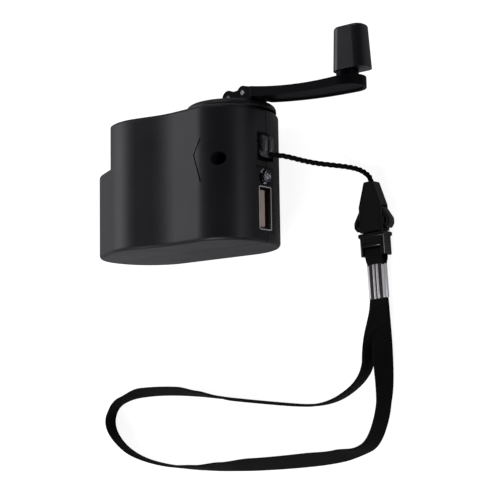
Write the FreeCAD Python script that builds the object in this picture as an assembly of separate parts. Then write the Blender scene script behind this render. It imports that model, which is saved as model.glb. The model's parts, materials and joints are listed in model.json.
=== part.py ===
import FreeCAD, Part

import math
import os

# Hand crank phone charger, millimetres, lying on the flat rear face of its case.
# X runs along the case towards the USB end, Y runs along the crank axis away from the case,
# Z points up out of the front face.  The origin is the middle of the rear face it rests on.

V = FreeCAD.Vector
X_AXIS = V(1, 0, 0)
Y_AXIS = V(0, 1, 0)
Z_AXIS = V(0, 0, 1)

# --- Case --------------------------------------------------------------------------------
CASE_HEIGHT = 40.6          # along the crank axis, lobe top to bottom
WALL = 2.0
EDGE_ROUND = 1.2
SEAM_Z = 19.4               # parting plane of the two shells above the rest face
GROOVE_WIDE = 0.25
GROOVE_DEEP = 0.35
SEAM_KINK_X = -16.2         # left of here the seam slants towards the rear
SEAM_SLANT = 14.7           # degrees
END_X = 33.5                # outer face of the USB end
BACK_X = -32.6              # left side of the rear shell
FRONT_Z = 37.1              # front face at the USB end
END_FRONT_R = 12.0
END_REAR_R = 21.0
BACK_R = 15.4
WAIST_X = 6.5               # the hollow wave between the two front lobes
WAIST_Z = 35.4
WAIST_R = 30.0
LOBE_X = -10.2
LOBE_Z = 38.9
LOBE_R = 17.7
SIDE_X = -34.2
SIDE_Z = 26.1
SIDE_R = 16.0
BAY_ROOM = 1.7              # between the rotor's pinion and the floor of the bay above it
BAY_CLEARANCE = 0.3

# --- Crank -------------------------------------------------------------------------------
CRANK_X = 19.7
HUB_R = 13.8
HUB_RISE = 2.5              # hub top above the case top
HUB_ROUND = 1.9
HUB_GAP = 0.2               # running gap between hub and case
SHAFT_R = 2.0
FOLD_PIN_X = 21.6
FOLD_PIN_RISE = 4.45        # fold pin above the case top
PIN_R = 0.75
STOP_PIN_X = 27.3
STOP_PIN_RISE = 5.2
CHEEK_HALF = 3.5            # half width over the two cheeks
TONGUE_HALF = 1.5
CHEEK_GAP = 0.2
CHEEK_R = 2.3
ARM_START_X = 31.3          # where the arm widens
ARM_HALF = 5.4
POST_X = 63.8               # knob axis with the arm unfolded
ARM_ROOT_LOW = 3.0          # arm heights above the case top
ARM_ROOT_HIGH = 6.2
ARM_MID_LOW = 1.6
ARM_MID_HIGH = 4.2
ARM_END_LOW = 0.8
ARM_END_HIGH = 3.8
ARM_HOLLOW = 0.45           # depth of the recess in the arm's underside
ARM_RIM = 1.0               # width of the rim round it
ARM_SOLID = 3.0             # from where the arm widens to the recess
NECK_R = 3.25
NECK_HEIGHT = 1.9
POST_R = 2.2
POST_SKIN = 0.8             # of the arm, left under the post
KNOB_LENGTH = 11.3
KNOB_INNER = 3.8            # from the post's axis to the knob's inner side
KNOB_WIDTH = 7.0
KNOB_CORNER = 2.8
KNOB_TOP_ROUND = 1.0
KNOB_HEIGHT = 12.9
KNOB_TAPER = 0.3            # how much each side draws in towards the top
KNOB_LEAN = 0.6             # how much more the outer side does
PLUG_R = 2.6
KNOB_SCREW_DEPTH = 3.0      # screw seat below the top of the knob
BUSH_R = 3.4
BUSH_FLANGE = 1.0           # how far the bush's flange reaches past its barrel
BUSH_DROP = 1.2             # how far the bush stands into the case

# --- Gear train --------------------------------------------------------------------------
MODULE = 0.5
WHEEL_TEETH = 36
PINION_TEETH = 12
BACKLASH = 0.1
GEAR_THICK = 2.0
CENTRE_CLEARANCE = 0.05
AXLE_R = 0.75
RUN = 0.05                  # radial running clearance
PLATE = 1.3                 # gearbox plate thickness
POST_SIZE = 2.0
UPPER_PLATE_DROP = 3.4      # underside of the upper plate, below the case top
LOWER_PLATE_UP = 17.7       # underside of the lower plate, above the case bottom
DRIVE_GEAR_DROP = 2.7       # underside of each wheel, below the upper plate
IDLER_ONE_DROP = 8.3
IDLER_TWO_UP = 3.0          # above the lower plate
GEAR_LIFT = 0.2             # end play of each gear
WEB_CUT = 0.5               # how far a wheel's web lies below its rim
UPPER_PLATE_END_X = 27.4
LOWER_PLATE_END_X = 23.2
PLATE_POST_RIGHT_X = 13.7
PLATE_POST_LEFT_X = -10.0
PLATE_POST_REACH = 12.2     # posts in front of and behind the gear axes
PLATE_SCREW_DEEP = 4.0
PLATE_SCREW_SUNK = 0.5
PLATE_SCREW_R = 0.8
PLATE_SCREW_HEAD_R = 1.4
GEN_SCREW_REACH = 8.0       # generator screws either side of its axis
PINION_OVERHANG = 0.6       # a pinion stands this far out of its wheel

# --- Generator ---------------------------------------------------------------------------
GEN_R = 11.0
GEN_LENGTH = 12.6
GEN_CAP = 1.9
GEN_WALL = 0.8
GEN_SHAFT_R = 1.0
GEN_BOSS_R = 3.0
MAGNET_THICK = 2.2
MAGNET_SPLIT = 3.0          # half the gap between the two magnets
AIR_GAP = 1.1               # rotor to magnets
COIL_R = 1.9
ROTOR_CORE_R = 2.6
CORE_UP = 3.4               # core above the end cap, and below the can's closed end
CORE_DROP = 2.2
POLE_HALF = 1.1
SHOE_THICK = 1.1
SHOE_SPREAD = 1.0           # half width of a pole shoe's wedge, in rotor radii
COMMUTATOR_R = 2.3
COMMUTATOR_LONG = 2.4
BRUSH_REACH = 5.0
BRUSH_HALF = 0.9
TERMINAL_REACH = 4.0

# --- End panel: USB socket, lamp, lanyard pocket -----------------------------------------
RECESS_DEPTH = 0.8
RECESS_UP = 2.6             # the recess's lower edge above the case bottom
RECESS_TALL = 20.1
RECESS_LOW_Z = 15.1
RECESS_HIGH_Z = 24.4
PAD_DEPTH = 2.0             # thickened wall behind the recess
USB_UP = 10.4               # middle of the socket above the case bottom
USB_WIDE = 13.2
USB_THICK = 5.8
USB_DEEP = 14.0
USB_SHEET = 0.35
TONGUE_GAP = 0.45           # between the shell and the blade of the tongue
TONGUE_THICK = 2.7
TONGUE_ROUND = 0.6          # at the end of the blade
TONGUE_SUNK = 0.5           # blade's end behind the mouth of the shell
PANEL_GAP = 0.15
LAMP_UP = 19.7
LAMP_R = 2.5
LAMP_FLANGE_R = 2.9
LAMP_PROUD = 1.7
LAMP_LENGTH = 4.2           # from the pad's back to the lamp's base
LAMP_FLANGE = 1.0
POCKET_UP = 28.6
POCKET_TALL = 7.7
POCKET_WIDE = 7.6
POCKET_DEEP = 4.6
POCKET_WALL = 1.2
POCKET_FLARE = 0.7
LANYARD_BAR_X = 31.8
LANYARD_BAR_R = 0.7
LANYARD_BAR_DROP = 2.9      # below the top of the pocket
LANYARD_BAR_GRIP = 0.8      # how far each end is held in the pocket's wall

# --- Screw and chevron on the front ------------------------------------------------------
SCREW_X = 27.5
SCREW_UP = 24.1             # above the case bottom
SCREW_WELL_R = 2.05
SCREW_HEAD_R = 1.85
SCREW_R = 1.1
SCREW_SEAT_Z = 24.5
SCREW_TIP_Z = 8.0
BOSS_R = 3.0
CHEVRON = [(22.0, 30.4), (19.4, 25.8), (22.0, 17.8)]      # X and height above the bottom
CHEVRON_LINE = 0.45
CHEVRON_DEPTH = 0.4

# --- Circuit board -----------------------------------------------------------------------
BOARD_THICK = 1.6
BOARD_X = 1.6
BOARD_UP = 2.7              # lower edge of the board above the case bottom
BOARD_DROP = 1.0            # upper edge of the board below the lower gearbox plate
BOARD_END_GAP = 0.7         # between the board and the pad behind the recess
BOARD_EAR_GAP = 0.4         # the board's ear stands this far clear of the lower plate
STANDOFF_R = 2.0
BOARD_SCREW_X = 5.2
BOARD_SCREW_R = 0.8
BOARD_SCREW_TIP_Z = 8.0
BOARD_SCREW_INSET = 2.6     # from the board's long edges
LEAD_D = 1.0
CAPACITOR_X = 12.4
CAPACITOR_UP = 4.4          # above the board's lower edge
CAPACITOR_R = 3.15
CAPACITOR_TALL = 8.2
CAPACITOR_GROOVE_UP = 1.4
CHIP_X = 8.2
CHIP_LONG = 5.0
CHIP_WIDE = 4.0
CHIP_TALL = 1.6
DIODE_X = 15.9
DIODE_UP = 4.0
DIODE_STEP = 2.1
DIODE_LONG = 2.0
DIODE_WIDE = 1.4
DIODE_TALL = 1.1

# --- Lanyard -----------------------------------------------------------------------------
CORD_D = 1.4
STRAND_R = 0.95
HITCH_REACH = 1.35          # the two strands over the bar, either side of its middle
BIGHT_R = 1.0
BIGHT_TUCK = 0.8             # of the bight, behind the front strands
BUCKLE_TOP = V(59.2, -3.5, 2.45)
LANYARD_TILT = 2.8          # degrees, as the buckle lies
SOCKET_LENGTH = 14.7
SOCKET_TOP_HALF = 1.8
SOCKET_SHOULDER = 7.0
SOCKET_HALF = 4.2
SOCKET_THICK = 4.6
SOCKET_WALL = 0.8
PRONG_THICK = 2.6
PRONG_BULGE = 6.3
PRONG_ROUND = 0.7
PRONG_BOW = 1.2             # width of the prong's bowed outer side
FLANGE_HALF = 4.6
FLANGE_THICK = 4.7
FLANGE_LENGTH = 1.3
FLANGE_GAP = 0.4            # between the flange and the mouth of the socket
INSERT_LENGTH = 21.8        # from the top of the socket to the end of the insert
INSERT_HALF = 4.3
INSERT_THICK = 4.4
PRONG_MOUTH = 3.9           # half width of the socket's mouth
SLOT_HIGH = 19.3            # the webbing slot of the insert, from the top of the socket
SLOT_LOW = 20.1
BAR_HALF = 1.0
LIP_AT = 18.7               # the rounded lip above the slot
LIP_R = 0.7
LIP_PROUD = 0.2
TAB_END = 24.2
CRIMP_END = 34.6
CRIMP_HALF = 3.2
CRIMP_THICK = 2.1
CRIMP_RIDGE_R = 0.5
CRIMP_PITCH = 1.55
CRIMP_TAIL = 28.8           # where tab and strap meet inside the crimp
STRAP_WIDTH = 5.9
STRAP_THICK = 0.8
STRAP_LIFT = 0.12
TWIST_STEPS = 6

CORD_ROUTE = [
    (33.3, 6.2, 19.0), (36.2, 5.9, 18.1), (38.6, 5.3, 15.2), (40.2, 4.6, 10.9),
    (42.2, 4.1, 6.3), (45.6, 3.6, 2.6), (50.0, 2.7, 1.0), (54.0, 1.4, 0.85),
    (57.0, -0.5, 1.3), (59.14, -2.3, 2.45), (59.27, -5.0, 2.45),
]

STRAP_ROUTE = [
    (63.0, -56.3), (63.3, -64.6), (61.6, -72.4), (58.3, -79.0), (52.4, -82.9),
    (44.0, -84.9), (27.0, -86.1), (8.0, -87.0), (-10.0, -87.1), (-26.0, -85.9),
    (-38.0, -83.3), (-46.6, -78.6), (-51.2, -72.4), (-49.2, -66.4), (-42.6, -63.6),
    (-32.0, -62.5), (-16.0, -62.9), (4.0, -65.3), (22.0, -67.1), (35.0, -68.2),
    (44.2, -66.9), (51.0, -63.4), (55.2, -59.9), (57.5, -56.8),
]

FAR = 100.0                 # longer than any piece, for cutting blocks

# --- Derived places ----------------------------------------------------------------------
TOP_Y = CASE_HEIGHT / 2
BOTTOM_Y = -CASE_HEIGHT / 2
UPPER_PLATE_Y = TOP_Y - UPPER_PLATE_DROP
LOWER_PLATE_Y = BOTTOM_Y + LOWER_PLATE_UP
DRIVE_GEAR_Y = UPPER_PLATE_Y - DRIVE_GEAR_DROP
IDLER_ONE_Y = UPPER_PLATE_Y - IDLER_ONE_DROP
IDLER_TWO_Y = LOWER_PLATE_Y + IDLER_TWO_UP
ROTOR_R = GEN_R - GEN_WALL - MAGNET_THICK - AIR_GAP
RECESS_LOW_Y = BOTTOM_Y + RECESS_UP
RECESS_HIGH_Y = RECESS_LOW_Y + RECESS_TALL
USB_Y = BOTTOM_Y + USB_UP
LAMP_Y = BOTTOM_Y + LAMP_UP
POCKET_Y = BOTTOM_Y + POCKET_UP
SCREW_Y = BOTTOM_Y + SCREW_UP
BOARD_LOW_Y = BOTTOM_Y + BOARD_UP
BOARD_HIGH_Y = LOWER_PLATE_Y - BOARD_DROP
INNER_TOP_Y = TOP_Y - WALL
INNER_BOTTOM_Y = BOTTOM_Y + WALL
FOLD_PIN_Y = TOP_Y + FOLD_PIN_RISE
STOP_PIN_Y = TOP_Y + STOP_PIN_RISE
HUB_TOP_Y = TOP_Y + HUB_RISE
KNOB_INNER_X = POST_X - KNOB_INNER
BAY_X = 2 * FOLD_PIN_X - KNOB_INNER_X + BAY_CLEARANCE
STAGE = MODULE * (WHEEL_TEETH + PINION_TEETH) / 2 + CENTRE_CLEARANCE
IDLER_ONE_X = CRANK_X - STAGE
IDLER_TWO_X = IDLER_ONE_X - STAGE
GEN_X = IDLER_TWO_X - STAGE
PANEL_X = END_X - RECESS_DEPTH
BOARD_TOP_Z = SEAM_Z - USB_THICK / 2
BOARD_END_X = PANEL_X - PAD_DEPTH - BOARD_END_GAP
PLATE_GAP = 0.3
GEN_TOP_Y = LOWER_PLATE_Y
GEN_BOTTOM_Y = GEN_TOP_Y - GEN_LENGTH
PINION_TOP_Y = IDLER_TWO_Y + GEAR_THICK + PINION_OVERHANG
BAY_FLOOR_Y = PINION_TOP_Y + BAY_ROOM + WALL
LAMP_BACK_X = PANEL_X - PAD_DEPTH - LAMP_LENGTH
LANYARD_BAR_Y = POCKET_Y + POCKET_TALL / 2 - LANYARD_BAR_DROP
BAR_LOW_Z = SEAM_Z - POCKET_WIDE / 2 - LANYARD_BAR_GRIP
BAR_HIGH_Z = SEAM_Z + POCKET_WIDE / 2 + LANYARD_BAR_GRIP
BOARD_SCREW_YS = (BOARD_LOW_Y + BOARD_SCREW_INSET, BOARD_HIGH_Y - BOARD_SCREW_INSET)
PLATE_POSTS = [(x, SEAM_Z + side * PLATE_POST_REACH)
               for x in (PLATE_POST_RIGHT_X, PLATE_POST_LEFT_X) for side in (-1, 1)]
PLATE_RIBS = [(14.0, 1.0, 6.5), (-9.0, 1.0, 6.5), (14.0, 31.0, 35.0), (-9.0, 33.0, 37.0)]


# --- Helpers -----------------------------------------------------------------------------
def box(x0, x1, y0, y1, z0, z1):
    return Part.makeBox(x1 - x0, y1 - y0, z1 - z0, V(x0, y0, z0))


def rod_x(x0, x1, y, z, r):
    return Part.makeCylinder(r, x1 - x0, V(x0, y, z), X_AXIS)


def rod_y(x, y0, y1, z, r):
    return Part.makeCylinder(r, y1 - y0, V(x, y0, z), Y_AXIS)


def rod_z(x, y, z0, z1, r):
    return Part.makeCylinder(r, z1 - z0, V(x, y, z0), Z_AXIS)


def tube_y(x, y0, y1, z, r_out, r_in):
    return rod_y(x, y0, y1, z, r_out).cut(rod_y(x, y0 - 1, y1 + 1, z, r_in))


def fused(shapes):
    whole = shapes[0].fuse(shapes[1:]) if len(shapes) > 1 else shapes[0]
    return whole.removeSplitter()


def prism(points, thickness):
    """A prism of a closed polygon of 3-D points, drawn out by a vector."""
    wire = Part.makePolygon([V(*p) for p in points] + [V(*points[0])])
    return Part.Face(wire).extrude(thickness)


def corner_arc(before, corner, after, radius):
    """Start, middle, end and centre of the arc that rounds one corner."""
    to_before = (before - corner).normalize()
    to_after = (after - corner).normalize()
    half = to_before.getAngle(to_after) / 2
    reach = radius / math.tan(half)
    bisector = (to_before + to_after).normalize()
    centre = corner + bisector * (radius / math.sin(half))
    middle = centre - bisector * radius
    return corner + to_before * reach, middle, corner + to_after * reach, centre


def rounded_outline(corners, place):
    """A closed wire of straight sides and tangent arcs; place maps (a, b) to 3-D."""
    points = [place(a, b) for a, b, _ in corners]
    arcs = []
    for i, (_, _, radius) in enumerate(corners):
        arcs.append(corner_arc(points[i - 1], points[i], points[(i + 1) % len(points)], radius))
    edges = []
    for i, (start, middle, end, _) in enumerate(arcs):
        last_end = arcs[i - 1][2]
        if last_end.distanceToPoint(start) > 1e-6:
            edges.append(Part.makeLine(last_end, start))
        edges.append(Part.Arc(start, middle, end).toShape())
    return Part.Wire(edges)


def turn(before, corner, after):
    return ((corner[0] - before[0]) * (after[1] - corner[1])
            - (corner[1] - before[1]) * (after[0] - corner[0]))


def inset(corners, distance):
    """The same rounded outline moved inwards; corners run clockwise as seen in (X, Z)."""
    count = len(corners)
    lines = []
    for i in range(count):
        ax, az, _ = corners[i]
        bx, bz, _ = corners[(i + 1) % count]
        length = math.hypot(bx - ax, bz - az)
        nx, nz = (bz - az) / length, -(bx - ax) / length
        lines.append((ax + nx * distance, az + nz * distance, bx - ax, bz - az))
    result = []
    for i in range(count):
        px, pz, ux, uz = lines[i - 1]
        qx, qz, vx, vz = lines[i]
        across = ux * vz - uz * vx
        along = ((qx - px) * vz - (qz - pz) * vx) / across
        hollow = turn(corners[i - 1], corners[i], corners[(i + 1) % count]) > 0
        radius = corners[i][2] + (distance if hollow else -distance)
        result.append((px + ux * along, pz + uz * along, radius))
    return result


def outline_prism(corners, y0, y1):
    wire = rounded_outline(corners, lambda a, b: V(a, y0, b))
    return Part.Face(wire).extrude(V(0, y1 - y0, 0))


# Clockwise in (X, Z): rear right, rear left, left side, lobe, waist, front right.
CASE_OUTLINE = [
    (END_X, 0.0, END_REAR_R),
    (BACK_X, 0.0, BACK_R),
    (SIDE_X, SIDE_Z, SIDE_R),
    (LOBE_X, LOBE_Z, LOBE_R),
    (WAIST_X, WAIST_Z, WAIST_R),
    (END_X, FRONT_Z, END_FRONT_R),
]


# --- Case shells -------------------------------------------------------------------------
def bay_block(margin):
    """Everything above the step on the left, grown by margin."""
    return box(BACK_X - 20, BAY_X + margin, BAY_FLOOR_Y - margin, TOP_Y + 20, -20, LOBE_Z + 20)


def level_edges(shape, y):
    return [e for e in shape.Edges
            if abs(e.BoundBox.YMin - y) < 1e-4 and abs(e.BoundBox.YMax - y) < 1e-4]


def case_skin():
    """The outer skin, a low part and a taller one beside the bay, and the cavity."""
    low_part = outline_prism(CASE_OUTLINE, BOTTOM_Y, BAY_FLOOR_Y)
    low_part = low_part.makeFillet(
        EDGE_ROUND, level_edges(low_part, BOTTOM_Y) + level_edges(low_part, BAY_FLOOR_Y))
    tall_part = outline_prism(CASE_OUTLINE, BAY_FLOOR_Y - 2 * EDGE_ROUND, TOP_Y)
    tall_part = tall_part.cut(box(BACK_X - 20, BAY_X, -40, 40, -20, LOBE_Z + 20))
    uprights = [e for e in tall_part.Edges
                if e.BoundBox.YMax - e.BoundBox.YMin > 5 and abs(e.BoundBox.XMax - BAY_X) < 1e-4]
    tall_part = tall_part.makeFillet(EDGE_ROUND, level_edges(tall_part, TOP_Y) + uprights)
    outer = low_part.fuse(tall_part).removeSplitter()
    inner_outline = inset(CASE_OUTLINE, WALL)
    hollow = outline_prism(inner_outline, INNER_BOTTOM_Y, INNER_TOP_Y).cut(bay_block(WALL))
    return outer, hollow


def inside(shape, gap=0.0):
    """What of a shape lies within the case cavity, with a gap to its walls."""
    room = outline_prism(inset(CASE_OUTLINE, WALL + gap),
                         INNER_BOTTOM_Y + gap, INNER_TOP_Y - gap).cut(bay_block(WALL + gap))
    return shape.common(room)


def seam_region():
    """The space in front of the parting surface."""
    far = 60.0
    slant = math.tan(math.radians(SEAM_SLANT))
    left_z = SEAM_Z - (far + SEAM_KINK_X) * slant
    points = [(far, -far, SEAM_Z), (SEAM_KINK_X, -far, SEAM_Z), (-far, -far, left_z),
              (-far, -far, far), (far, -far, far)]
    return prism(points, V(0, 2 * far, 0))


def seam_groove():
    """A fine groove round the case where the front shell meets the rear one."""
    region = seam_region()
    above = region.copy()
    above.translate(V(0, 0, GROOVE_WIDE))
    core = outline_prism(inset(CASE_OUTLINE, GROOVE_DEEP), BOTTOM_Y + GROOVE_DEEP,
                         TOP_Y - GROOVE_DEEP).cut(bay_block(GROOVE_DEEP))
    return region.cut(above).cut(core)


def pocket_box(grow, back):
    return box(END_X - POCKET_DEEP - back, END_X + 5,
               POCKET_Y - POCKET_TALL / 2 - grow, POCKET_Y + POCKET_TALL / 2 + grow,
               SEAM_Z - POCKET_WIDE / 2 - grow, SEAM_Z + POCKET_WIDE / 2 + grow)


def pocket_flare():
    """The softened rim of the pocket, widening towards the end of the case."""
    def rim(x, grow):
        y0, y1 = POCKET_Y - POCKET_TALL / 2 - grow, POCKET_Y + POCKET_TALL / 2 + grow
        z0, z1 = SEAM_Z - POCKET_WIDE / 2 - grow, SEAM_Z + POCKET_WIDE / 2 + grow
        corners = [V(x, y0, z0), V(x, y1, z0), V(x, y1, z1), V(x, y0, z1)]
        return Part.makePolygon(corners + corners[:1])

    return Part.makeLoft([rim(END_X - POCKET_FLARE, 0), rim(END_X + 0.1, POCKET_FLARE)], True, True)


def chevron_cut():
    """An arrow-like groove, cut a little way into the curved front."""
    strokes = []
    for (x0, up0), (x1, up1) in zip(CHEVRON, CHEVRON[1:]):
        y0, y1 = BOTTOM_Y + up0, BOTTOM_Y + up1
        length = math.hypot(x1 - x0, y1 - y0)
        stroke = box(-CHEVRON_LINE / 2, length + CHEVRON_LINE / 2,
                     -CHEVRON_LINE / 2, CHEVRON_LINE / 2, SEAM_Z, FRONT_Z + 5)
        stroke.rotate(V(0, 0, 0), Z_AXIS, math.degrees(math.atan2(y1 - y0, x1 - x0)))
        stroke.translate(V(x0, y0, 0))
        strokes.append(stroke)
    core = outline_prism(inset(CASE_OUTLINE, CHEVRON_DEPTH), BOTTOM_Y, TOP_Y)
    return fused(strokes).cut(core)


def make_shells():
    outer, hollow = case_skin()
    solid = outer.cut(hollow)
    outer_full = outline_prism(CASE_OUTLINE, BOTTOM_Y + 0.3, TOP_Y - 0.3)
    extras = [
        pocket_box(POCKET_WALL, POCKET_WALL),
        box(PANEL_X - PAD_DEPTH, END_X, RECESS_LOW_Y, RECESS_HIGH_Y - 0.5,
            RECESS_LOW_Z - 1, RECESS_HIGH_Z + 1),
        rod_z(SCREW_X, SCREW_Y, 0.5, FRONT_Z, BOSS_R),
        rod_y(CRANK_X, INNER_TOP_Y - 0.6, TOP_Y - 0.5, SEAM_Z, BUSH_R + 2.0),
    ]
    for y in BOARD_SCREW_YS:
        extras.append(rod_z(BOARD_SCREW_X, y, 0.5, BOARD_TOP_Z - BOARD_THICK, STANDOFF_R))
    for x, z0, z1 in PLATE_RIBS:
        extras.append(box(x - 0.6, x + 0.6, LOWER_PLATE_Y - 2.4, LOWER_PLATE_Y - 0.1, z0, z1))
    solid = fused([solid] + [piece.common(outer_full) for piece in extras])

    cuts = [
        pocket_box(0, 0),
        pocket_flare(),
        box(PANEL_X, END_X + 5, RECESS_LOW_Y, RECESS_HIGH_Y, RECESS_LOW_Z, RECESS_HIGH_Z),
        box(PANEL_X - PAD_DEPTH - 5, END_X,
            USB_Y - USB_WIDE / 2 - PANEL_GAP, USB_Y + USB_WIDE / 2 + PANEL_GAP,
            SEAM_Z - USB_THICK / 2 - PANEL_GAP, SEAM_Z + USB_THICK / 2 + PANEL_GAP),
        rod_x(PANEL_X - PAD_DEPTH - 1, END_X + 1, LAMP_Y, SEAM_Z, LAMP_R + 0.1),
        rod_x(LAMP_BACK_X - 2.5, PANEL_X - PAD_DEPTH, LAMP_Y, SEAM_Z, LAMP_FLANGE_R + 0.4),
        rod_z(SCREW_X, SCREW_Y, SCREW_SEAT_Z, FRONT_Z + 5, SCREW_WELL_R),
        rod_z(SCREW_X, SCREW_Y, SEAM_Z - 0.1, FRONT_Z, SCREW_R + 0.2),
        rod_z(SCREW_X, SCREW_Y, SCREW_TIP_Z - 0.5, SEAM_Z, SCREW_R),
        rod_y(CRANK_X, INNER_TOP_Y - 2, TOP_Y + 1, SEAM_Z, BUSH_R),
        rod_z(LANYARD_BAR_X, LANYARD_BAR_Y, BAR_LOW_Z, BAR_HIGH_Z, LANYARD_BAR_R),
        chevron_cut(),
    ]
    for y in BOARD_SCREW_YS:
        cuts.append(rod_z(BOARD_SCREW_X, y, BOARD_SCREW_TIP_Z - 0.3, BOARD_TOP_Z, BOARD_SCREW_R))
    for cut in cuts:
        solid = solid.cut(cut)
    front = solid.common(seam_region())
    rear = solid.cut(seam_region())
    return front.cut(seam_groove()), rear


# --- Gears -------------------------------------------------------------------------------
def involute(angle):
    return math.tan(angle) - angle


def gear_profile(teeth, y, tip_factor, gap_at_x):
    """Closed wire of one spur gear, with a tooth on the -X side or a gap on the +X side."""
    pitch_r = MODULE * teeth / 2
    pressure = math.radians(20)
    base_r = pitch_r * math.cos(pressure)
    root_r = pitch_r - 1.25 * MODULE
    tip_r = pitch_r + tip_factor * MODULE
    half_pitch = math.pi / teeth
    half_at_pitch = half_pitch / 2 - BACKLASH / (2 * pitch_r)
    radii = [max(base_r, root_r), (base_r + pitch_r) / 2 if base_r > root_r else pitch_r,
             (pitch_r + tip_r) / 2, tip_r]

    def half_angle(radius):
        return half_at_pitch + involute(pressure) - involute(math.acos(min(1, base_r / radius)))

    phase = half_pitch if gap_at_x else 0.0
    points = []
    for tooth in range(teeth):
        middle = 2 * half_pitch * tooth + phase
        flank = [(root_r, -half_angle(radii[0]) * 0.9)]
        flank += [(r, -half_angle(r)) for r in radii]
        flank += [(r, -a) for r, a in reversed(flank)]
        points += [(r * math.cos(middle + a), r * math.sin(middle + a)) for r, a in flank]
    corners = [V(px, y, pz) for px, pz in points]
    return Part.makePolygon(corners + [corners[0]])


def spur_gear(x, y0, thickness, teeth, tip_factor, gap_at_x):
    face = Part.Face(gear_profile(teeth, y0, tip_factor, gap_at_x))
    gear = face.extrude(V(0, thickness, 0))
    gear.translate(V(x, 0, SEAM_Z))
    return gear


def wheel(x, y0):
    """The 36-tooth wheel of a stage, with a web thinner than its rim."""
    gear = spur_gear(x, y0, GEAR_THICK, WHEEL_TEETH, 0.8, False)
    rim_r = MODULE * WHEEL_TEETH / 2 - 2.2
    hub_r = MODULE * PINION_TEETH / 2 + 1.6
    for low, high in ((y0 - 1, y0 + WEB_CUT), (y0 + GEAR_THICK - WEB_CUT, y0 + GEAR_THICK + 1)):
        gear = gear.cut(tube_y(x, low, high, SEAM_Z, rim_r, hub_r))
    return gear


def compound_gear(x, y0, pinion_top, sleeve_bottom):
    pinion = spur_gear(x, y0 + GEAR_THICK, pinion_top - y0 - GEAR_THICK, PINION_TEETH, 0.9, True)
    parts = [wheel(x, y0), pinion]
    if y0 - sleeve_bottom > 0.5:
        parts.append(rod_y(x, sleeve_bottom, y0, SEAM_Z, AXLE_R + 1.3))
    return fused(parts).cut(rod_y(x, sleeve_bottom - 1, pinion_top + 1, SEAM_Z, AXLE_R + RUN))


def make_gearbox():
    upper_top = UPPER_PLATE_Y + PLATE
    lower_top = LOWER_PLATE_Y + PLATE
    upper = inside(box(BAY_X, UPPER_PLATE_END_X, UPPER_PLATE_Y, upper_top, 0, FAR), PLATE_GAP)
    upper = upper.cut(rod_y(CRANK_X, 0, 30, SEAM_Z, BUSH_R + 2.4))
    lower = inside(box(-FAR, LOWER_PLATE_END_X, LOWER_PLATE_Y, lower_top, 0, FAR), PLATE_GAP)
    lower = lower.cut(rod_y(CRANK_X, -10, 10, SEAM_Z, SHAFT_R + RUN))
    lower = lower.cut(rod_y(GEN_X, -10, 10, SEAM_Z, GEN_BOSS_R))
    for x in (IDLER_ONE_X, IDLER_TWO_X):
        upper = upper.cut(rod_y(x, 0, 30, SEAM_Z, AXLE_R))
        lower = lower.cut(rod_y(x, -10, 10, SEAM_Z, AXLE_R))
    posts, screws = [], []
    for x, z in PLATE_POSTS:
        post = rod_y(x, lower_top, UPPER_PLATE_Y, z, POST_SIZE)
        post = post.cut(rod_y(x, UPPER_PLATE_Y - PLATE_SCREW_DEEP, UPPER_PLATE_Y + 1, z, PLATE_SCREW_R))
        posts.append(post)
        upper = upper.cut(rod_y(x, 0, 30, z, PLATE_SCREW_R))
        shank = rod_y(x, UPPER_PLATE_Y - PLATE_SCREW_DEEP, upper_top - PLATE_SCREW_SUNK, z, PLATE_SCREW_R)
        head = rod_y(x, upper_top - PLATE_SCREW_SUNK, INNER_TOP_Y - 0.02, z, PLATE_SCREW_HEAD_R)
        upper = upper.cut(head)
        screws.append(shank.fuse(head).removeSplitter())
    gen_screws = []
    for side in (-1, 1):
        z = SEAM_Z + side * GEN_SCREW_REACH
        lower = lower.cut(rod_y(GEN_X, -10, 10, z, PLATE_SCREW_R))
        shank = rod_y(GEN_X, GEN_TOP_Y - GEN_WALL, lower_top, z, PLATE_SCREW_R)
        head = rod_y(GEN_X, lower_top, lower_top + 0.9, z, PLATE_SCREW_HEAD_R)
        gen_screws.append(shank.fuse(head).removeSplitter())
    axles = [rod_y(x, LOWER_PLATE_Y + 0.1, upper_top - 0.1, SEAM_Z, AXLE_R)
             for x in (IDLER_ONE_X, IDLER_TWO_X)]
    return {
        "gearbox_plate_upper": upper,
        "gearbox_plate_lower": lower,
        "gearbox_posts": Part.makeCompound(posts),
        "gearbox_screws": Part.makeCompound(screws),
        "generator_screws": Part.makeCompound(gen_screws),
        "idler_axles": Part.makeCompound(axles),
        "idler_gear_first": compound_gear(IDLER_ONE_X, IDLER_ONE_Y, UPPER_PLATE_Y - GEAR_LIFT,
                                          lower_top + GEAR_LIFT),
        "idler_gear_second": compound_gear(IDLER_TWO_X, IDLER_TWO_Y,
                                           IDLER_ONE_Y + GEAR_THICK + 2 * GEAR_LIFT,
                                           lower_top + GEAR_LIFT),
    }



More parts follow.
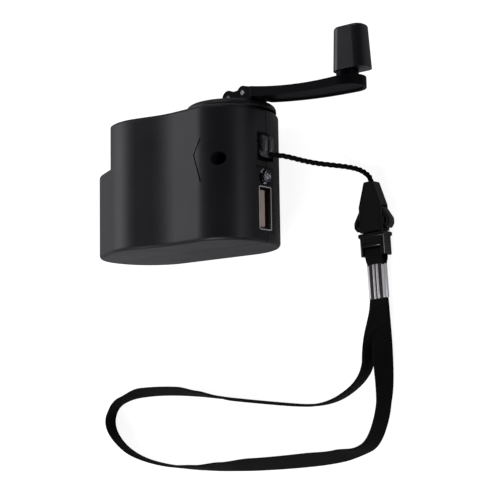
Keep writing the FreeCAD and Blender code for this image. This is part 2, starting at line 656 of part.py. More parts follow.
# --- Generator ---------------------------------------------------------------------------
def make_generator():
    can = rod_y(GEN_X, GEN_BOTTOM_Y, GEN_TOP_Y, SEAM_Z, GEN_R)
    can = can.cut(rod_y(GEN_X, GEN_BOTTOM_Y - 1, GEN_TOP_Y - GEN_WALL, SEAM_Z, GEN_R - GEN_WALL))
    can = can.fuse(rod_y(GEN_X, GEN_TOP_Y - GEN_WALL, GEN_TOP_Y + PLATE - 0.2, SEAM_Z, GEN_BOSS_R))
    can = can.cut(rod_y(GEN_X, GEN_TOP_Y - 5, GEN_TOP_Y + 5, SEAM_Z, GEN_SHAFT_R + 0.8)).removeSplitter()
    for side in (-1, 1):
        can = can.cut(rod_y(GEN_X, GEN_TOP_Y - 5, GEN_TOP_Y + 5,
                            SEAM_Z + side * GEN_SCREW_REACH, PLATE_SCREW_R))
    bearing = tube_y(GEN_X, GEN_TOP_Y - GEN_WALL, GEN_TOP_Y + PLATE - 0.2, SEAM_Z,
                     GEN_SHAFT_R + 0.8, GEN_SHAFT_R + RUN)
    magnets = []
    for side in (-1, 1):
        ring = tube_y(GEN_X, GEN_BOTTOM_Y + 2.5, GEN_TOP_Y - GEN_WALL - 1.2, SEAM_Z,
                      GEN_R - GEN_WALL, GEN_R - GEN_WALL - MAGNET_THICK)
        near, far = sorted(GEN_X + side * reach for reach in (MAGNET_SPLIT, GEN_R))
        half = box(near, far, GEN_BOTTOM_Y, GEN_TOP_Y, SEAM_Z - GEN_R, SEAM_Z + GEN_R)
        magnets.append(ring.common(half))
    cap_low = GEN_BOTTOM_Y - GEN_CAP
    cap = rod_y(GEN_X, cap_low, GEN_BOTTOM_Y, SEAM_Z, GEN_R)
    cap = cap.fuse(tube_y(GEN_X, GEN_BOTTOM_Y, GEN_BOTTOM_Y + 1.5, SEAM_Z, GEN_R - GEN_WALL,
                          GEN_R - GEN_WALL - 1.0)).removeSplitter()
    cap = cap.cut(rod_y(GEN_X, cap_low + 0.6, GEN_BOTTOM_Y + 1, SEAM_Z, GEN_SHAFT_R + RUN))
    terminals, brushes = [], []
    for side in (-1, 1):
        z = SEAM_Z + side * TERMINAL_REACH
        slot = box(GEN_X + 5, GEN_X + GEN_R + 3.2, cap_low + 0.5, cap_low + 1.0, z - 1.0, z + 1.0)
        cap = cap.cut(slot)
        tab = slot.cut(rod_y(GEN_X + GEN_R + 2.2, cap_low, cap_low + 2, z, 0.45))
        terminals.append(tab)
        near, far = sorted(SEAM_Z + side * reach for reach in (COMMUTATOR_R + RUN, BRUSH_REACH))
        brushes.append(box(GEN_X - BRUSH_HALF, GEN_X + BRUSH_HALF,
                           GEN_BOTTOM_Y, GEN_BOTTOM_Y + COMMUTATOR_LONG, near, far))
    shaft = rod_y(GEN_X, cap_low + 0.7, PINION_TOP_Y, SEAM_Z, GEN_SHAFT_R)
    core_low, core_high = GEN_BOTTOM_Y + CORE_UP, GEN_TOP_Y - GEN_WALL - CORE_DROP
    core = rod_y(GEN_X, core_low, core_high, SEAM_Z, ROTOR_CORE_R)
    pole = box(GEN_X - POLE_HALF, GEN_X + POLE_HALF, core_low, core_high,
               SEAM_Z, SEAM_Z + ROTOR_R - SHOE_THICK / 2)
    shoe = tube_y(GEN_X, core_low, core_high, SEAM_Z, ROTOR_R, ROTOR_R - SHOE_THICK)
    wide, deep = SHOE_SPREAD * ROTOR_R, 1.45 * ROTOR_R
    shoe = shoe.common(prism([(GEN_X, core_low, SEAM_Z), (GEN_X - wide, core_low, SEAM_Z + deep),
                              (GEN_X + wide, core_low, SEAM_Z + deep)], V(0, core_high - core_low, 0)))
    coils, arms = [], [core]
    coil = box(GEN_X - COIL_R, GEN_X + COIL_R, core_low - 0.8, core_high + 0.8,
               SEAM_Z + ROTOR_CORE_R + RUN, SEAM_Z + ROTOR_R - SHOE_THICK - 0.6)
    coil = coil.cut(pole)
    for k in range(3):
        for source, target in ((pole, arms), (shoe, arms), (coil, coils)):
            copy = source.copy()
            copy.rotate(V(GEN_X, 0, SEAM_Z), Y_AXIS, 120 * k)
            target.append(copy)
    rotor = fused(arms).cut(shaft)
    commutator = tube_y(GEN_X, GEN_BOTTOM_Y + 0.1, GEN_BOTTOM_Y + 0.1 + COMMUTATOR_LONG, SEAM_Z,
                        COMMUTATOR_R, GEN_SHAFT_R)
    pinion = spur_gear(GEN_X, IDLER_TWO_Y - 0.8, PINION_TOP_Y - IDLER_TWO_Y + 0.8,
                       PINION_TEETH, 0.9, True).cut(shaft)
    return {
        "generator_can": can,
        "generator_bearing": bearing,
        "generator_magnets": Part.makeCompound(magnets),
        "generator_end_cap": cap,
        "generator_terminals": Part.makeCompound(terminals),
        "generator_brushes": Part.makeCompound(brushes),
        "rotor_shaft": shaft,
        "rotor_core": rotor,
        "rotor_coils": Part.makeCompound(coils),
        "rotor_commutator": commutator,
        "rotor_pinion": pinion,
    }



# --- Circuit board and what it carries ---------------------------------------------------
def make_electronics():
    low_z = BOARD_TOP_Z - BOARD_THICK
    board = box(BOARD_X, BOARD_END_X, BOARD_LOW_Y, BOARD_HIGH_Y, low_z, BOARD_TOP_Z)
    ear = box(LOWER_PLATE_END_X + BOARD_EAR_GAP, LAMP_BACK_X + 1.2, BOARD_HIGH_Y, LAMP_Y + 0.9,
              low_z, BOARD_TOP_Z)
    board = board.fuse(ear).removeSplitter()
    screws = []
    for y in BOARD_SCREW_YS:
        board = board.cut(rod_z(BOARD_SCREW_X, y, low_z - 1, BOARD_TOP_Z + 1, BOARD_SCREW_R))
        shank = rod_z(BOARD_SCREW_X, y, BOARD_SCREW_TIP_Z, BOARD_TOP_Z, BOARD_SCREW_R)
        head = rod_z(BOARD_SCREW_X, y, BOARD_TOP_Z, BOARD_TOP_Z + 1.0, 1.6)
        screws.append(shank.fuse(head).removeSplitter())

    x0, x1 = PANEL_X - USB_DEEP, PANEL_X
    y0, y1 = USB_Y - USB_WIDE / 2, USB_Y + USB_WIDE / 2
    z0, z1 = SEAM_Z - USB_THICK / 2, SEAM_Z + USB_THICK / 2
    shell = box(x0, x1, y0, y1, z0, z1)
    upright = [e for e in shell.Edges if abs(e.BoundBox.XMax - e.BoundBox.XMin) > 1]
    shell = shell.makeFillet(0.6, upright)
    shell = shell.cut(box(x0 + USB_SHEET, x1 + 1, y0 + USB_SHEET, y1 - USB_SHEET,
                          z0 + USB_SHEET, z1 - USB_SHEET))
    spring = 1.1
    for z in (z0, z1):
        for y in (USB_Y - 3.2, USB_Y + 3.2):
            shell = shell.cut(box(x1 - 7.5, x1 - 2.6, y - spring, y + spring, z - 1, z + 1)
                              .cut(box(x1 - 8.0, x1 - 3.2, y - spring + 0.3, y + spring - 0.3,
                                       z - 1, z + 1)))
    tongue_top = SEAM_Z + USB_THICK / 2 - USB_SHEET - TONGUE_GAP
    tongue_low = tongue_top - TONGUE_THICK
    tongue = box(x0 + USB_SHEET, x0 + 3.5, y0 + USB_SHEET, y1 - USB_SHEET,
                 z0 + USB_SHEET, z1 - USB_SHEET)
    blade = box(x0 + 3.5, x1 - TONGUE_SUNK, USB_Y - 5.6, USB_Y + 5.6, tongue_low, tongue_top)
    ends = [e for e in blade.Edges if e.BoundBox.XMin > x1 - TONGUE_SUNK - 0.1]
    tongue = tongue.fuse(blade.makeFillet(TONGUE_ROUND, ends)).removeSplitter()
    contacts = []
    for k in range(4):
        y = USB_Y + (k - 1.5) * 2.3
        strip = box(x0 + 3.6, x1 - TONGUE_SUNK - 0.6, y - 0.5, y + 0.5, tongue_low - 0.25, tongue_low)
        contacts.append(strip)

    lamp_seat = LAMP_BACK_X + LAMP_FLANGE
    bulb_end = PANEL_X + LAMP_PROUD - LAMP_R
    lamp = rod_x(lamp_seat, bulb_end, LAMP_Y, SEAM_Z, LAMP_R)
    lamp = lamp.fuse([Part.makeSphere(LAMP_R, V(bulb_end, LAMP_Y, SEAM_Z)),
                      rod_x(LAMP_BACK_X, lamp_seat, LAMP_Y, SEAM_Z, LAMP_FLANGE_R)]).removeSplitter()
    lamp = lamp.cut(box(LAMP_BACK_X - 1, lamp_seat, LAMP_Y - 5, LAMP_Y - LAMP_R, 0, 50))
    leads = []
    for reach, bend_x in ((-1.27, LAMP_BACK_X - 1.0), (1.27, LAMP_BACK_X - 2.6)):
        z = SEAM_Z + reach
        run = box(bend_x - 0.25, LAMP_BACK_X, LAMP_Y - 0.25, LAMP_Y + 0.25, z - 0.25, z + 0.25)
        drop = box(bend_x - 0.25, bend_x + 0.25, LAMP_Y - 0.25, LAMP_Y + 0.25, BOARD_TOP_Z, z - 0.25)
        leads.append(run.fuse(drop).removeSplitter())

    capacitor_y = BOARD_LOW_Y + CAPACITOR_UP
    capacitor = rod_z(CAPACITOR_X, capacitor_y, BOARD_TOP_Z, BOARD_TOP_Z + CAPACITOR_TALL, CAPACITOR_R)
    groove_z = BOARD_TOP_Z + CAPACITOR_GROOVE_UP
    groove = rod_z(CAPACITOR_X, capacitor_y, groove_z, groove_z + 0.6, CAPACITOR_R + 1)
    groove = groove.cut(rod_z(CAPACITOR_X, capacitor_y, groove_z - 1, groove_z + 2, CAPACITOR_R - 0.3))
    capacitor = capacitor.cut(groove)
    chip_top_y = BOARD_HIGH_Y - 0.6
    chip = box(CHIP_X, CHIP_X + CHIP_LONG, chip_top_y - CHIP_WIDE, chip_top_y,
               BOARD_TOP_Z, BOARD_TOP_Z + CHIP_TALL)
    diodes = []
    for k in range(4):
        y = BOARD_LOW_Y + DIODE_UP + k * DIODE_STEP
        diodes.append(box(DIODE_X, DIODE_X + DIODE_LONG, y, y + DIODE_WIDE,
                          BOARD_TOP_Z, BOARD_TOP_Z + DIODE_TALL))
    return {
        "circuit_board": board,
        "board_screws": Part.makeCompound(screws),
        "usb_shell": shell,
        "usb_tongue": tongue,
        "usb_contacts": Part.makeCompound(contacts),
        "charge_lamp": lamp,
        "lamp_leads": Part.makeCompound(leads),
        "storage_capacitor": capacitor,
        "regulator_chip": chip,
        "rectifier_diodes": Part.makeCompound(diodes),
    }


# --- Cords -------------------------------------------------------------------------------
def cord_tube(route, diameter, name):
    """A round tube along straight runs joined by tangent arcs, as large as the runs allow."""
    points = [V(*p) for p in route]
    edges, radii = [], []
    last = points[0]
    for before, corner, after in zip(points, points[1:], points[2:]):
        shorter = min(before.distanceToPoint(corner), corner.distanceToPoint(after))
        swing = math.pi - (before - corner).getAngle(after - corner)
        radius = 0.45 * shorter / math.tan(swing / 2)
        start, middle, end, _ = corner_arc(before, corner, after, radius)
        edges.append(Part.LineSegment(last, start).toShape())
        edges.append(Part.Arc(start, middle, end).toShape())
        radii.append(round(radius, 1))
        last = end
    edges.append(Part.LineSegment(last, points[-1]).toShape())
    path = Part.Wire(edges)
    section = Part.Wire(Part.makeCircle(diameter / 2, points[0], points[1] - points[0]))
    tube = path.makePipeShell([section], True, False)
    exact = math.pi * diameter ** 2 / 4 * path.Length
    print(name, "length", round(path.Length, 2), "radii", radii,
          "volume ratio", round(tube.Volume / exact, 4))
    return tube


def generator_leads():
    """Two short wires from the generator's terminals over the board's edge to its face."""
    leads = []
    tab_y = GEN_BOTTOM_Y - GEN_CAP + 1.0
    tab_x = GEN_X + GEN_R + 2.2
    crest = BOARD_TOP_Z + 1.9
    end_x = BOARD_X + 1.6
    for side, end_y in ((-1, BOARD_LOW_Y + 5.6), (1, BOARD_LOW_Y + 7.8)):
        z = SEAM_Z + side * TERMINAL_REACH
        rise = crest - z
        route = [(tab_x, tab_y, z), (tab_x, tab_y + 1.7, z),
                 (tab_x + 1.9, (tab_y + 2.4 + end_y) / 2, z + 0.5 * rise),
                 (BOARD_X - 0.9, end_y, z + 0.95 * rise), (end_x, end_y, crest),
                 (end_x, end_y, BOARD_TOP_Z)]
        leads.append(cord_tube(route, LEAD_D, "generator lead"))
    return leads


# --- Crank -------------------------------------------------------------------------------
def make_crank():
    hub = rod_y(CRANK_X, TOP_Y + HUB_GAP, HUB_TOP_Y, SEAM_Z, HUB_R)
    rim = [e for e in hub.Edges if abs(e.BoundBox.YMin - HUB_TOP_Y) < 1e-4]
    hub = hub.makeFillet(HUB_ROUND, rim)
    trough_end = 2 * FOLD_PIN_X - ARM_START_X - 0.4
    trough = box(trough_end, CRANK_X + HUB_R + 1, HUB_TOP_Y - 1.5, HUB_TOP_Y + 5,
                 SEAM_Z - CHEEK_HALF - 0.3, SEAM_Z + CHEEK_HALF + 0.3)
    trough = trough.cut(box(ARM_START_X + 0.3, FAR, 0, FAR, 0, FAR))
    hub = hub.cut(trough)
    tongue_top = STOP_PIN_Y - PIN_R - 0.05
    tongue = box(FOLD_PIN_X - 2.0, STOP_PIN_X + 1.3, HUB_TOP_Y - 2.0, tongue_top,
                 SEAM_Z - TONGUE_HALF, SEAM_Z + TONGUE_HALF)
    knuckle = rod_z(FOLD_PIN_X, FOLD_PIN_Y, SEAM_Z - TONGUE_HALF, SEAM_Z + TONGUE_HALF, 2.0)
    hub = fused([hub, tongue, knuckle])
    hub = hub.cut(rod_y(CRANK_X, TOP_Y - 1, TOP_Y + 1.6, SEAM_Z, SHAFT_R))
    hub = hub.cut(rod_z(FOLD_PIN_X, FOLD_PIN_Y, 0, 50, PIN_R))
    shaft = rod_y(CRANK_X, LOWER_PLATE_Y + 0.2, TOP_Y + 1.6, SEAM_Z, SHAFT_R)
    clip_y = INNER_TOP_Y - BUSH_DROP - 0.7
    groove = tube_y(CRANK_X, clip_y, clip_y + 0.6, SEAM_Z, SHAFT_R + 1, SHAFT_R - 0.4)
    shaft = shaft.cut(groove)
    clip = tube_y(CRANK_X, clip_y, clip_y + 0.6, SEAM_Z, SHAFT_R + 1.4, SHAFT_R - 0.4)
    clip = clip.cut(box(CRANK_X, CRANK_X + 9, clip_y - 1, clip_y + 2, SEAM_Z - 1.2, SEAM_Z + 1.2))
    gear = wheel(CRANK_X, DRIVE_GEAR_Y)
    collar = rod_y(CRANK_X, DRIVE_GEAR_Y - 1.5, DRIVE_GEAR_Y, SEAM_Z, SHAFT_R + 1.8)
    gear = fused([gear, collar]).cut(rod_y(CRANK_X, 0, 30, SEAM_Z, SHAFT_R))
    bush = rod_y(CRANK_X, INNER_TOP_Y - BUSH_DROP, TOP_Y, SEAM_Z, BUSH_R)
    flange = rod_y(CRANK_X, INNER_TOP_Y - BUSH_DROP, INNER_TOP_Y - 0.6, SEAM_Z, BUSH_R + BUSH_FLANGE)
    bush = bush.fuse(flange).removeSplitter().cut(rod_y(CRANK_X, 0, 30, SEAM_Z, SHAFT_R + RUN))
    pin = rod_z(FOLD_PIN_X, FOLD_PIN_Y, SEAM_Z - CHEEK_HALF + 0.05, SEAM_Z + CHEEK_HALF - 0.05, PIN_R)
    return {
        "crank_hub": hub,
        "crank_shaft": shaft,
        "shaft_clip": clip,
        "drive_gear": gear,
        "fold_pin": pin,
    }, bush



def arm_blade():
    """The wide, gently bowed blade of the arm, cut from a bowed slab by its plan shape."""
    end_x = POST_X + ARM_HALF
    mid_x = (ARM_START_X + end_x) / 2 - 6

    def side(x, rise):
        return V(x, TOP_Y + rise, SEAM_Z - ARM_HALF)

    def bowed(low, high):
        # each is the rise at the root, in the middle and at the end
        spots = (ARM_START_X, mid_x, end_x)
        arcs = [Part.Arc(*[side(x, rise) for x, rise in zip(spots, rises)]).toShape()
                for rises in (low, high)]
        ends = [Part.makeLine(side(spots[k], low[k]), side(spots[k], high[k])) for k in (0, 2)]
        face = Part.Face(Part.Wire(Part.__sortEdges__(arcs + ends)))
        return face.extrude(V(0, 0, 2 * ARM_HALF))

    def plan(rim, start_x):
        half = ARM_HALF - rim
        wire = rounded_outline(
            [(end_x - rim, SEAM_Z - half, half - 0.02), (end_x - rim, SEAM_Z + half, half - 0.02),
             (start_x, SEAM_Z + half, 0.9), (start_x, SEAM_Z - half, 0.9)],
            lambda a, b: V(a, TOP_Y - 5, b))
        return Part.Face(wire).extrude(V(0, 20, 0))

    low = (ARM_ROOT_LOW, ARM_MID_LOW, ARM_END_LOW)
    high = (ARM_ROOT_HIGH, ARM_MID_HIGH, ARM_END_HIGH)
    blade = bowed(low, high).common(plan(0, ARM_START_X))
    hollow = bowed([rise - 1 for rise in low], [rise + ARM_HOLLOW for rise in low])
    return blade.cut(hollow.common(plan(ARM_RIM, ARM_START_X + ARM_SOLID)))


def make_arm():
    stop = (STOP_PIN_X, STOP_PIN_Y)
    fold = (FOLD_PIN_X, FOLD_PIN_Y)
    root_low = TOP_Y + ARM_ROOT_LOW
    web = prism([(fold[0], fold[1] - CHEEK_R + 0.5, SEAM_Z - CHEEK_HALF),
                 (fold[0], fold[1] + CHEEK_R - 0.9, SEAM_Z - CHEEK_HALF),
                 (stop[0] - 1.6, stop[1] + 1.0, SEAM_Z - CHEEK_HALF),
                 (stop[0] + 0.7, stop[1] + 1.97, SEAM_Z - CHEEK_HALF),
                 (ARM_START_X + 1.5, TOP_Y + ARM_ROOT_HIGH - 0.25, SEAM_Z - CHEEK_HALF),
                 (ARM_START_X + 1.5, root_low - 0.1, SEAM_Z - CHEEK_HALF),
                 (stop[0] - 1.0, root_low, SEAM_Z - CHEEK_HALF)], V(0, 0, 2 * CHEEK_HALF))
    low, high = SEAM_Z - CHEEK_HALF, SEAM_Z + CHEEK_HALF
    bumps = [rod_z(*fold, low, high, CHEEK_R), rod_z(*stop, low, high, 2.1)]
    arm = fused([arm_blade(), web] + bumps)
    arm = arm.cut(box(FOLD_PIN_X - 5, STOP_PIN_X + 1.7, TOP_Y, TOP_Y + 12,
                      SEAM_Z - TONGUE_HALF - CHEEK_GAP, SEAM_Z + TONGUE_HALF + CHEEK_GAP))
    arm = arm.cut(rod_z(*fold, 0, 50, PIN_R + RUN))
    arm = arm.cut(rod_z(*stop, 0, 50, PIN_R))
    stop_pin = rod_z(*stop, low, high, PIN_R)

    seat = TOP_Y + ARM_END_HIGH
    knob_base = seat + NECK_HEIGHT
    knob_top = knob_base + KNOB_HEIGHT
    floor = knob_top - KNOB_SCREW_DEPTH
    post_foot = TOP_Y + ARM_END_LOW + ARM_HOLLOW + POST_SKIN
    arm = arm.cut(rod_y(POST_X, post_foot, knob_top, SEAM_Z, POST_R))
    post = rod_y(POST_X, post_foot, floor - 0.1, SEAM_Z, POST_R)
    neck = rod_y(POST_X, seat - 0.3, knob_base - 0.1, SEAM_Z, NECK_R)
    arm = arm.cut(neck)
    post = post.fuse(neck).removeSplitter()
    post = post.cut(rod_y(POST_X, floor - 6, floor + 1, SEAM_Z, 0.8))
    screw = rod_y(POST_X, floor - 6, floor, SEAM_Z, 0.8)
    screw = screw.fuse(rod_y(POST_X, floor + RUN, floor + 1.1, SEAM_Z, 2.0))
    screw = screw.fuse(rod_y(POST_X, floor - 0.5, floor + 0.5, SEAM_Z, 0.8)).removeSplitter()
    screw = screw.cut(box(POST_X - 0.25, POST_X + 0.25, floor + 0.7, floor + 2,
                          SEAM_Z - 1.6, SEAM_Z + 1.6))

    def section(y, draw, lean):
        x0, x1 = KNOB_INNER_X + draw, KNOB_INNER_X + KNOB_LENGTH - draw - lean
        z0, z1 = SEAM_Z - KNOB_WIDTH / 2 + draw, SEAM_Z + KNOB_WIDTH / 2 - draw
        r = KNOB_CORNER
        return rounded_outline([(x0, z0, r), (x1, z0, r), (x1, z1, r), (x0, z1, r)],
                               lambda a, b: V(a, y, b))

    sections = [section(knob_base, 0, 0), section(knob_top, KNOB_TAPER, KNOB_LEAN)]
    knob = Part.makeLoft(sections, True, True)
    tops = [e for e in knob.Edges if abs(e.BoundBox.YMin - knob_top) < 1e-4]
    knob = knob.makeFillet(KNOB_TOP_ROUND, tops)
    knob = knob.cut(rod_y(POST_X, knob_base - 1, floor, SEAM_Z, POST_R + RUN))
    knob = knob.cut(rod_y(POST_X, floor, knob_top + 1, SEAM_Z, PLUG_R))
    plug = rod_y(POST_X, knob_top - 1.4, knob_top - 0.15, SEAM_Z, PLUG_R)
    return {
        "crank_arm": arm,
        "stop_pin": stop_pin,
        "knob_post": post,
        "knob_screw": screw,
        "knob": knob,
        "knob_plug": plug,
    }


# --- Lanyard -----------------------------------------------------------------------------
def laid(shape):
    """Move a piece from the buckle's own frame (+Y towards the cord) to where it lies."""
    placed = shape.copy()
    placed.rotate(V(0, 0, 0), Z_AXIS, LANYARD_TILT)
    placed.translate(BUCKLE_TOP)
    return placed


def plan_plate(points, thickness):
    """A plate of a plan polygon given as (half width, distance down), centred in height."""
    wire = Part.makePolygon([V(u, -v, -thickness / 2) for u, v in points + points[:1]])
    return Part.Face(wire).extrude(V(0, 0, thickness))


def mirrored(points):
    return points + [(-u, v) for u, v in reversed(points)]


def make_hitch():
    """Cord doubled over the bar in the pocket, its two strands caught in one bight below."""
    wrap_r = LANYARD_BAR_R + STRAND_R + 0.05
    bight_y = CORD_ROUTE[0][1]
    bight_x = LANYARD_BAR_X + wrap_r - BIGHT_TUCK
    pieces = []
    for reach in (-HITCH_REACH, HITCH_REACH):
        z = SEAM_Z + reach
        torus = Part.makeTorus(wrap_r, STRAND_R, V(LANYARD_BAR_X, LANYARD_BAR_Y, z), Z_AXIS)
        above = box(LANYARD_BAR_X - 5, LANYARD_BAR_X + 5, LANYARD_BAR_Y, LANYARD_BAR_Y + 5,
                    z - 2, z + 2)
        pieces.append(torus.common(above))
        pieces.append(rod_y(LANYARD_BAR_X + wrap_r, bight_y + BIGHT_R / 2, LANYARD_BAR_Y, z,
                            STRAND_R))
        elbow = V(LANYARD_BAR_X - wrap_r, LANYARD_BAR_Y - STRAND_R, z)
        pieces.append(cord_run(V(elbow.x, LANYARD_BAR_Y, z), elbow, STRAND_R))
        pieces.append(Part.makeSphere(STRAND_R, elbow))
        pieces.append(cord_run(elbow, V(bight_x, bight_y, z), STRAND_R))
    span = HITCH_REACH + STRAND_R
    pieces.append(rod_z(bight_x, bight_y, SEAM_Z - span, SEAM_Z + span, BIGHT_R))
    for side in (-1, 1):
        pieces.append(Part.makeSphere(BIGHT_R, V(bight_x, bight_y, SEAM_Z + side * span)))
    return fused(pieces)


def cord_run(start, end, radius):
    return Part.makeCylinder(radius, start.distanceToPoint(end), start, end - start)


def make_buckle():
    socket_side = [(SOCKET_TOP_HALF, 0), (SOCKET_HALF - 0.1, SOCKET_SHOULDER),
                   (SOCKET_HALF, SOCKET_LENGTH)]
    socket = plan_plate(mirrored(socket_side), SOCKET_THICK)
    rims = [e for e in socket.Edges if abs(e.BoundBox.ZMax - e.BoundBox.ZMin) < 1e-4
            and e.BoundBox.YMax - e.BoundBox.YMin > 1]
    socket = socket.makeFillet(1.1, rims)
    room_t = SOCKET_THICK - 2 * SOCKET_WALL
    room = box(-SOCKET_HALF + SOCKET_WALL, SOCKET_HALF - SOCKET_WALL,
               -SOCKET_LENGTH - 1, -SOCKET_SHOULDER + 1.2, -room_t / 2, room_t / 2)
    windows = box(-9, 9, -SOCKET_LENGTH + 0.9, -SOCKET_SHOULDER - 0.4, -room_t / 2, room_t / 2)
    eye = Part.makeCylinder(CORD_D / 2 + 0.1, 2.0, V(0, -1.9, 0), V(0, 1, 0))
    socket = socket.cut(room).cut(windows).cut(eye)
    mouth = box(-PRONG_MOUTH, PRONG_MOUTH, -SOCKET_LENGTH - 1, -SOCKET_LENGTH + 2,
                -room_t / 2, room_t / 2)
    socket = socket.cut(mouth)

    flange_top = SOCKET_LENGTH + FLANGE_GAP
    flange_end = flange_top + FLANGE_LENGTH
    flange = box(-FLANGE_HALF, FLANGE_HALF, -flange_end, -flange_top, -FLANGE_THICK / 2, FLANGE_THICK / 2)
    flange = flange.makeFillet(0.4, flange.Edges)
    block = box(-INSERT_HALF, INSERT_HALF, -INSERT_LENGTH, -flange_end + 0.5,
                -INSERT_THICK / 2, INSERT_THICK / 2)
    tall = [e for e in block.Edges if e.BoundBox.YMax - e.BoundBox.YMin > 1]
    block = block.makeFillet(0.8, tall)
    guide = box(-0.7, 0.7, -flange_top - 0.5, -SOCKET_SHOULDER - 0.6, -0.9, 0.9)
    slot_half = STRAP_WIDTH / 2 + 0.1
    lips = [rod_x(-slot_half, slot_half, -LIP_AT, s * (INSERT_THICK / 2 + LIP_PROUD - LIP_R), LIP_R)
            for s in (-1, 1)]
    insert = fused([flange, block, guide] + lips)
    insert = insert.cut(box(-slot_half, slot_half, -SLOT_LOW, -SLOT_HIGH, -5, 5))
    for low in (-5, BAR_HALF):
        insert = insert.cut(box(-slot_half, slot_half, -INSERT_LENGTH - 1, -SLOT_LOW + 0.1,
                                low, low + 5 - BAR_HALF))

    side = [(2.3, flange_top - 0.1), (2.3, 8.6), (2.9, SOCKET_SHOULDER + 0.8),
            (SOCKET_HALF - 0.15, SOCKET_SHOULDER + 0.8), (PRONG_BULGE, 11.4), (PRONG_BULGE, 13.0),
            (PRONG_BULGE - 0.9, 14.2), (4.9, 14.2), (4.5, 13.6), (3.6, 13.6), (3.6, 13.0),
            (4.7, 13.0), (PRONG_BULGE - PRONG_BOW, 12.4), (PRONG_BULGE - PRONG_BOW, 11.6),
            (4.0, 9.6), (3.4, 9.6), (3.4, flange_top - 0.1)]
    right = plan_plate(side, PRONG_THICK)
    corners = [e for e in right.Edges if e.BoundBox.XMin > PRONG_BULGE - 1.0
               and e.BoundBox.ZMax - e.BoundBox.ZMin > 1]
    right = right.makeFillet(PRONG_ROUND, corners)
    left = right.mirror(V(0, 0, 0), V(1, 0, 0))
    return socket, insert, left, right



def make_tab():
    """Webbing that runs round the insert's bar and back, its two layers meeting at the crimp."""
    outer, inner = BAR_HALF + 0.05 + STRAP_THICK * 0.9, BAR_HALF + 0.05
    half = STRAP_WIDTH / 2
    slot_top = SLOT_HIGH + 0.15
    loop = [(-slot_top, outer - 0.3), (-slot_top - 0.3, outer), (-INSERT_LENGTH, outer),
            (-TAB_END, STRAP_THICK), (-CRIMP_TAIL, STRAP_THICK), (-CRIMP_TAIL, 0.0),
            (-TAB_END + 0.4, 0.0), (-INSERT_LENGTH - 0.3, inner), (-SLOT_LOW, inner),
            (-SLOT_LOW, 0.0), (-slot_top, 0.0)]
    upper = prism([(-half, y, z) for y, z in loop], V(2 * half, 0, 0))
    lower = upper.mirror(V(0, 0, 0), Z_AXIS)
    return upper.fuse(lower).removeSplitter()



def make_crimp():
    """A pressed metal sleeve with ridges that run along the webbing."""
    half_t = CRIMP_THICK / 2
    sleeve = box(-CRIMP_HALF, CRIMP_HALF, -CRIMP_END, -TAB_END, -half_t, half_t)
    long_edges = [e for e in sleeve.Edges if e.BoundBox.YMax - e.BoundBox.YMin > 1]
    sleeve = sleeve.makeFillet(0.8, long_edges)
    ridges = []
    for k in range(4):
        u = (k - 1.5) * CRIMP_PITCH
        for s in (-1, 1):
            ridges.append(Part.makeCylinder(CRIMP_RIDGE_R, CRIMP_END - TAB_END - 1.0,
                                            V(u, -CRIMP_END + 0.5, s * (half_t - 0.25)), V(0, 1, 0)))
    sleeve = fused([sleeve] + ridges)
    return sleeve.cut(box(-STRAP_WIDTH / 2, STRAP_WIDTH / 2, -CRIMP_END - 1, -TAB_END + 1,
                          -STRAP_THICK, STRAP_THICK))


def ribbon(points, thickness, low, high):
    """Webbing standing on its edge along straight runs and tangent arcs in plan."""
    centre = [V(x, y, low) for x, y in points]
    left, right = [], []
    for i, corner in enumerate(centre):
        if i in (0, len(centre) - 1):
            ahead = centre[1] - centre[0] if i == 0 else centre[-1] - centre[-2]
            side = V(-ahead.y, ahead.x, 0).normalize() * (thickness / 2)
            left.append(("end", corner + side))
            right.append(("end", corner - side))
            continue
        before, after = centre[i - 1], centre[i + 1]
        shorter = min(before.distanceToPoint(corner), corner.distanceToPoint(after))
        swing = math.pi - (before - corner).getAngle(after - corner)
        radius = 0.48 * shorter / math.tan(swing / 2)
        start, middle, end, hub = corner_arc(before, corner, after, radius)
        bends_left = (corner - before).cross(after - corner).z > 0
        for chain, sign in ((left, -1 if bends_left else 1), (right, 1 if bends_left else -1)):
            scale = (radius + sign * thickness / 2) / radius
            chain.append(("arc", [hub + (p - hub) * scale for p in (start, middle, end)]))

    def chain_edges(chain):
        edges, last = [], chain[0][1]
        for kind, item in chain[1:]:
            start = item if kind == "end" else item[0]
            edges.append(Part.makeLine(last, start))
            if kind == "arc":
                edges.append(Part.Arc(*item).toShape())
            last = item if kind == "end" else item[2]
        return edges

    edges = chain_edges(left) + [Part.makeLine(left[-1][1], right[-1][1])]
    edges += chain_edges(right) + [Part.makeLine(right[0][1], left[0][1])]
    face = Part.Face(Part.Wire(Part.__sortEdges__(edges)))
    return face.extrude(V(0, 0, high - low))


def twist(flat_centre, edge_centre, flat_dir, edge_dir):
    """Webbing that turns from lying flat to standing on its edge."""
    sections = []
    for k in range(TWIST_STEPS + 1):
        t = k / TWIST_STEPS
        angle = math.radians(90) * t
        blend = t * t * (3 - 2 * t)
        centre = flat_centre * (1 - t) + edge_centre * t
        centre.x = flat_centre.x + (edge_centre.x - flat_centre.x) * blend
        centre.z = flat_centre.z + (edge_centre.z - flat_centre.z) * math.sin(angle)
        ahead = (flat_dir * (1 - t) + edge_dir * t).normalize()
        across = V(-ahead.y, ahead.x, 0)
        wide = across * math.cos(angle) - V(0, 0, 1) * math.sin(angle)
        thin = V(0, 0, 1) * math.cos(angle) + across * math.sin(angle)
        a, b = wide * (STRAP_WIDTH / 2), thin * (STRAP_THICK / 2)
        corners = [centre + a + b, centre - a + b, centre - a - b, centre + a - b]
        sections.append(Part.makePolygon(corners + corners[:1]))
    return Part.makeLoft(sections, True, True)


